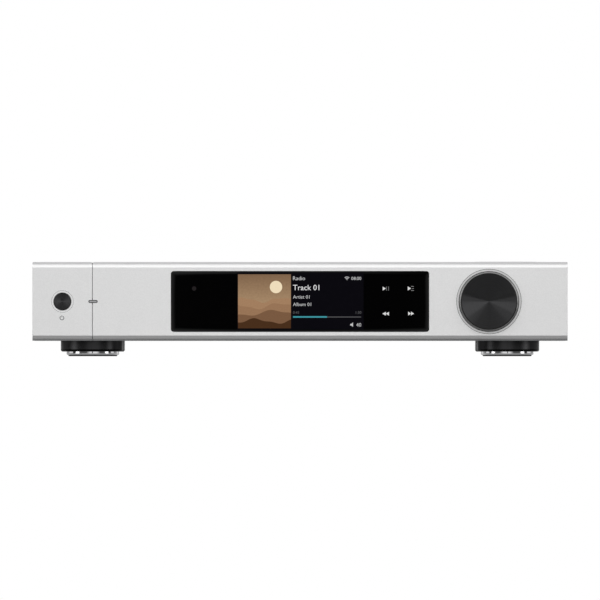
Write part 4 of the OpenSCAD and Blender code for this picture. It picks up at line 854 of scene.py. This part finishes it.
signs("touch_key_signs", [
    arrow_sign(382.75, 286.6, 385.8, 290.55),
    arrow_sign(407.8, 286.5, 411.0, 290.4),
    arrow_sign(382.4, 311.8, 385.9, 315.6, False),
    arrow_sign(385.9, 311.8, 388.95, 315.6, False),
    arrow_sign(408.15, 311.65, 410.95, 315.45),
    arrow_sign(410.95, 311.65, 414.0, 315.45),
], SKIN, KEY_LIT)
signs("touch_key_lines", [
    box_sign(386.4, 286.5, 386.7, 290.5),
    box_sign(388.4, 286.5, 388.7, 290.5),
    box_sign(411.1, 286.2, 413.9, 286.6),
    box_sign(412.0, 288.4, 413.9, 288.8),
    box_sign(411.1, 290.3, 413.9, 290.7),
], SKIN, KEY_DIM)

# The dark window of the infrared eye, a shallow turned lens on the glass
EYE_R, EYE_RISE, EYE_SUNK = 2.2 * PIXEL, 0.03 * MM, GLASS_LOW.y + 0.05 * MM
eye_centre = (across(194.1), height(288.5))
eye_run = np.linspace(0, 1, 8)
eye_front = np.stack([EYE_R * eye_run, GLASS_LOW.y - EYE_RISE * np.sqrt(1 - 0.98 * eye_run ** 2)], -1)
eye_profile = np.concatenate([eye_front, [[EYE_R, EYE_SUNK], [0, EYE_SUNK]]])
EYE_FINISH = grained(
    "infrared_window", (0.013, 0.010, 0.011), (0.3, 0.4), 0.2, 300, 2500, 0.05, 5e-6, Specular_IOR_Level=0.1)
turned("infrared_window", eye_profile, eye_centre, EYE_FINISH, "chassis", steps=48)

# The standby sign under the button, printed on the end panel
PRINT_Y = FACE_Y - 0.01 * MM
PRINT_FINISH = grained("printed_grey", (0.18, 0.18, 0.185), (0.5, 0.6), 0.1, 300, 2500, 0.1, 5e-6)
sign_centre = np.array([across(61.9), height(317.9)])
sign_bar = np.array([[-0.35, 0.4], [0.35, 0.4], [0.35, 2.7], [-0.35, 2.7]]) * PIXEL
signs("standby_sign", [
    arc_sign(sign_centre, 1.55 * PIXEL, 2.35 * PIXEL, 125, 415),
    sign_bar + sign_centre,
], PRINT_Y, PRINT_FINISH)


# Screw drives: six-lobed sockets drawn on the heads of the screws that show, as near black stars of painted
# shade in place of their hollows

DRIVE_R, DRIVE_LIFT = 1.15 * MM, 0.02 * MM
# Near black flat stars stand for the sockets' hollows: painted shade
DRIVE_PAINTED_SHADE = grained("drive_star_shade", (0.012, 0.012, 0.013), (0.5, 0.6), 0.3, 200, 2500, 0.2, 1e-5)


def drive_points(count=48, rings=4):
    """A flat six-lobed star: radius 1 + 0.16 cos 6t, filled by rings from its middle."""
    t = np.linspace(0, 2 * pi, count, endpoint=False)
    rim = 1 + 0.16 * np.cos(6 * t)
    scale = np.linspace(0, 1, rings)[:, None]
    return np.stack([scale * rim * np.cos(t), scale * rim * np.sin(t)], -1)


def drives(name, places, up, out):
    """Six-lobed drives at many places: star points along -X and up, set a hair outwards."""
    star = drive_points() * DRIVE_R
    flat = star[..., :1] * np.array([-1, 0, 0]) + star[..., 1:] * np.asarray(up)
    flat = flat + np.asarray(out) * DRIVE_LIFT
    points = np.asarray(places)[:, None, None, :] + flat[None]
    rings, count = star.shape[:2]
    faces = grid_faces(rings, count, round_columns=True)
    faces = np.concatenate([faces + k * rings * count for k in range(len(places))])
    return piece(name, points, faces, DRIVE_PAINTED_SHADE, "chassis", closed=False)


RAIL_X, RAIL_ZS = 204 * MM, (18 * MM, 69.9 * MM)
RAIL_YS = (-102.25 * MM, 2.75 * MM, 107.75 * MM)
LIP_XS = -148.7 * MM + (np.arange(3) + 0.5) * 345.7 * MM / 3
HEAD_Y, EAR_Y = REAR_Y + 1.8 * MM, REAR_Y + 3.8 * MM
EAR_X, EAR_Z = 9.5 * MM, 12 * MM
BASE_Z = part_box("bottom_plate")[0].z
PARTITION_X, PARTITION_YS = -155.7 * MM, (-52.05 * MM, 2.75 * MM, 57.55 * MM)
rear_heads = [(x, HEAD_Y, z) for x in (-RAIL_X, *LIP_XS, RAIL_X) for z in RAIL_ZS]
ear_heads = [(x + s * EAR_X, EAR_Y, BALANCED_Z + s * EAR_Z) for x in BALANCED_XS for s in (-1, 1)]
drives("rear_drives", rear_heads + ear_heads, (0, 0, 1), (0, 1, 0))
rail_heads = [(x, y, BASE_Z) for x in (-RAIL_X, RAIL_X) for y in RAIL_YS]
partition_heads = [(PARTITION_X, y, BASE_Z) for y in PARTITION_YS]
drives("bottom_drives", rail_heads + partition_heads, (0, 1, 0), (0, 0, -1))


# Stage: a pale floor that ends softly, dark cards for the polished pieces to mirror, lamps and the world

FLOOR_R, FLOOR_FADE, FLOOR_SHADE = 2.4, (1.0, 2.2), 0.86
GROUND_R, GROUND_Z = 6.0, -0.4
GROUND_FRONT, FRONT_LEVELS = (-0.6, -1.7), (0.33, 0.95)
GROUND_REAR, REAR_LEVELS = (0.2, 1.0), (0.0, 0.15)


def stage_sheet(name, points, round_columns=False):
    """A sheet of the stage over a grid of points."""
    faces = grid_faces(*points.shape[:2], round_columns=round_columns)
    mesh = bpy.data.meshes.new(name)
    mesh.from_pydata(points.reshape(-1, 3).tolist(), [], faces.tolist())
    obj = bpy.data.objects.new(name, mesh)
    bpy.context.scene.collection.objects.link(obj)
    return obj


def polar_sheet(name, radius, z, rings=40, steps=96):
    """A flat round sheet that faces up: rings whose radii grow as the square of their count, taken
    clockwise."""
    r = radius * np.linspace(0, 1, rings)[:, None] ** 2
    t = np.linspace(0, -2 * pi, steps, endpoint=False)[None, :]
    points = np.stack([r * np.cos(t), r * np.sin(t), np.full((rings, steps), z)], -1)
    return stage_sheet(name, points, round_columns=True)


def stage_material(name):
    """A material without a shader, its tree and the socket of its surface."""
    material = bpy.data.materials.new(name)
    material.use_nodes = True
    tree = material.node_tree
    tree.nodes.remove(tree.nodes["Principled BSDF"])
    return material, tree, tree.nodes["Material Output"].inputs[0]


def reflections_only(obj):
    """Hides a sheet of the stage from all but glossy rays."""
    obj.visible_camera = False
    obj.visible_diffuse = False
    obj.visible_shadow = False


def floor_paper():
    """Pale paper that clears away with the distance from the middle, to the white of the room, and is clear
    from below."""
    material, tree, surface = stage_material("floor_paper")
    reach = vectors(tree, "LENGTH", surface_point(tree))
    fade = ramp(tree, reach, *FLOOR_FADE, way="SMOOTHSTEP")
    gone = sums(tree, "MAXIMUM", fade, add(tree, "NewGeometry").outputs["Backfacing"])
    pale = add(tree, "BsdfDiffuse", Color=grey(FLOOR_SHADE))
    clear = add(tree, "BsdfTransparent")
    blend = add(tree, "MixShader", i0=gone, i1=pale.outputs[0], i2=clear.outputs[0])
    tree.links.new(blend.outputs[0], surface)
    return material


def ground_glow():
    """The ground as reflections see it: dark under the object as its painted shadow, paler in front of it and
    a little behind.
    """
    material, tree, surface = stage_material("ground_glow")
    y = add(tree, "SeparateXYZ", Vector=surface_point(tree)).outputs[1]
    front = ramp(tree, y, *GROUND_FRONT, *FRONT_LEVELS, way="SMOOTHSTEP")
    rear = ramp(tree, y, *GROUND_REAR, *REAR_LEVELS, way="SMOOTHSTEP")
    glow = add(tree, "Emission", Color=grey(1), Strength=sums(tree, "ADD", front, rear))
    tree.links.new(glow.outputs[0], surface)
    return material


floor = polar_sheet("floor", FLOOR_R, 0.0)
floor.data.materials.append(floor_paper())
floor.visible_glossy = False
ground = polar_sheet("ground", GROUND_R, GROUND_Z)
reflections_only(ground)
ground.data.materials.append(ground_glow())


def dark_card(name, spans, middle, fade, depth, weights=(1, 1, 1), steps=12):
    """A dark card for reflections alone. Of its spans in x, y and z one is a single place. It clears away
    with the distance from its middle, over the fade, in which each axis has its weight."""
    first, second = np.meshgrid(*[np.linspace(*s, steps) for s in spans if isinstance(s, tuple)])
    grids = iter((first, second))
    points = [next(grids) if isinstance(s, tuple) else np.full(first.shape, s) for s in spans]
    obj = stage_sheet(name, np.stack(points, -1))
    reflections_only(obj)
    material, tree, surface = stage_material(name)
    away = vectors(tree, "SUBTRACT", surface_point(tree), middle)
    reach = vectors(tree, "LENGTH", vectors(tree, "MULTIPLY", away, weights))
    cleared = ramp(tree, reach, *fade, 1 - depth, 1.0)
    dark = add(tree, "Emission", Color=(0, 0, 0, 1), Strength=0.0)
    clear = add(tree, "BsdfTransparent")
    blend = add(tree, "MixShader", i0=cleared, i1=dark.outputs[0], i2=clear.outputs[0])
    tree.links.new(blend.outputs[0], surface)
    obj.data.materials.append(material)


# In front, for the glass; the lower part is narrower, so that the feet mirror less of it
ALONG_X, ALONG_Y = (1, 0, 0), (0, 1, 0)
CARD_Y, CARD_LOW = -4.0, 0.0174
GLASS_MIDDLE, GLASS_FADE, GLASS_WEIGHTS = (0, CARD_Y, 0.0475), (0.132, 0.217), (1, 1, 1.8)
dark_card(
    "front_card", ((-0.22, 0.22), CARD_Y, (CARD_LOW, 0.17)), GLASS_MIDDLE, GLASS_FADE, 0.97, GLASS_WEIGHTS)
dark_card(
    "front_card_low", ((-0.132, 0.132), CARD_Y, (-0.07, CARD_LOW)), GLASS_MIDDLE, GLASS_FADE, 0.97,
    GLASS_WEIGHTS)
dark_card(
    "front_card_right", ((0.02, 0.25), CARD_Y - 0.02, (0.08, 0.3)), (0.14, CARD_Y, 0.1), (0.03, 0.12), 0.9,
    ALONG_X)
# Overhead, for the knob
dark_card("over_card", ((-2.6, 2.6), (-2.2, -0.1), 2.0), (0, -1.2, 2.0), (0.6, 0.9), 0.9, (0.42, 1, 1))
# At both sides, for the feet and the ends of the case
FLAG_Y, SIDE_X, LOW_X, LOW_ZS = -1.3, 2.5, 1.6, (-0.14, 0.05)
for side, label, depth in ((-1, "left", 0.8), (1, "right", 1.0)):
    flag_x, side_x, low_x = (side * 0.3, side * 2.2), side * SIDE_X, side * LOW_X
    dark_card("flag_" + label, (flag_x, FLAG_Y, (-0.39, 0.1)), (side * 1.25, FLAG_Y, 0.0), (0.55, 0.95), 0.88)
    dark_card("side_card_" + label, (side_x, (-0.2, 2.0), (0.02, 1.6)), (side_x, 0.5, 0.2), (0.6, 1.2), depth)
    dark_card(
        "low_card_" + label, (low_x, (-0.5, 0.04), LOW_ZS), (low_x, -0.23, 0.0), (0.2, 0.26), 0.97, ALONG_Y)
    dark_card(
        "back_card_" + label, (low_x, (0.6, 3.0), LOW_ZS), (low_x, 2.0, 0.0), (1.1, 1.4), 0.6, ALONG_Y)


def softbox(name, place, turn, wide, deep, energy):
    """A rectangular lamp, turned about Y by degrees, that the camera itself doesn't see."""
    lamp = bpy.data.lights.new(name, "AREA")
    lamp.shape = "RECTANGLE"
    lamp.size, lamp.size_y = wide, deep
    lamp.energy = energy
    obj = bpy.data.objects.new(name, lamp)
    obj.location = place
    obj.rotation_euler = (0, radians(turn), 0)
    obj.visible_camera = False
    bpy.context.scene.collection.objects.link(obj)


softbox("lamp_left", (-1.7, -0.66, 0.31), -90, 1.3, 0.7, 4.4)
softbox("lamp_right", (1.7, -0.66, 0.45), 90, 1.6, 0.7, 5.7)
softbox("lamp_top", (0, 0, 2.2), 0, 2.2, 2.2, 8.0)

# The world: white to the camera and to reflections, a little darker as a light on matt surfaces
MATT_LEVEL, SEEN_LEVEL = 0.7, 1.0
world = bpy.data.worlds.new("white_room")
bpy.context.scene.world = world
world.use_nodes = True
tree = world.node_tree
path = add(tree, "LightPath").outputs
seen = sums(tree, "MAXIMUM", path["Is Camera Ray"], path["Is Glossy Ray"])
seen = sums(tree, "MAXIMUM", seen, path["Is Transmission Ray"])
background = tree.nodes["Background"]
background.inputs["Color"].default_value = grey(1)
tree.links.new(ramp(tree, seen, 0.0, 1.0, MATT_LEVEL, SEEN_LEVEL), background.inputs["Strength"])

# Camera: dead ahead, far away and as low as the floor, as the photograph shows no perspective and no ground
DISTANCE, EYE_Z = 21.0, 0.0
SENSOR = 36
lens = bpy.data.cameras.new("camera")
lens.type = "PERSP"
lens.sensor_width = SENSOR
lens.lens = SENSOR * DISTANCE / (IMAGE * PIXEL)
lens.clip_end = 200
camera = bpy.data.objects.new("camera", lens)
camera.location = (0, FACE_Y - DISTANCE, EYE_Z)
tilt = np.arctan2(float(height(IMAGE / 2)) - EYE_Z, DISTANCE)
camera.rotation_euler = (radians(90) + tilt, 0, 0)
bpy.context.scene.collection.objects.link(camera)
bpy.context.scene.camera = camera
bpy.context.scene.view_settings.view_transform = "Standard"

bpy.context.view_layer.update()
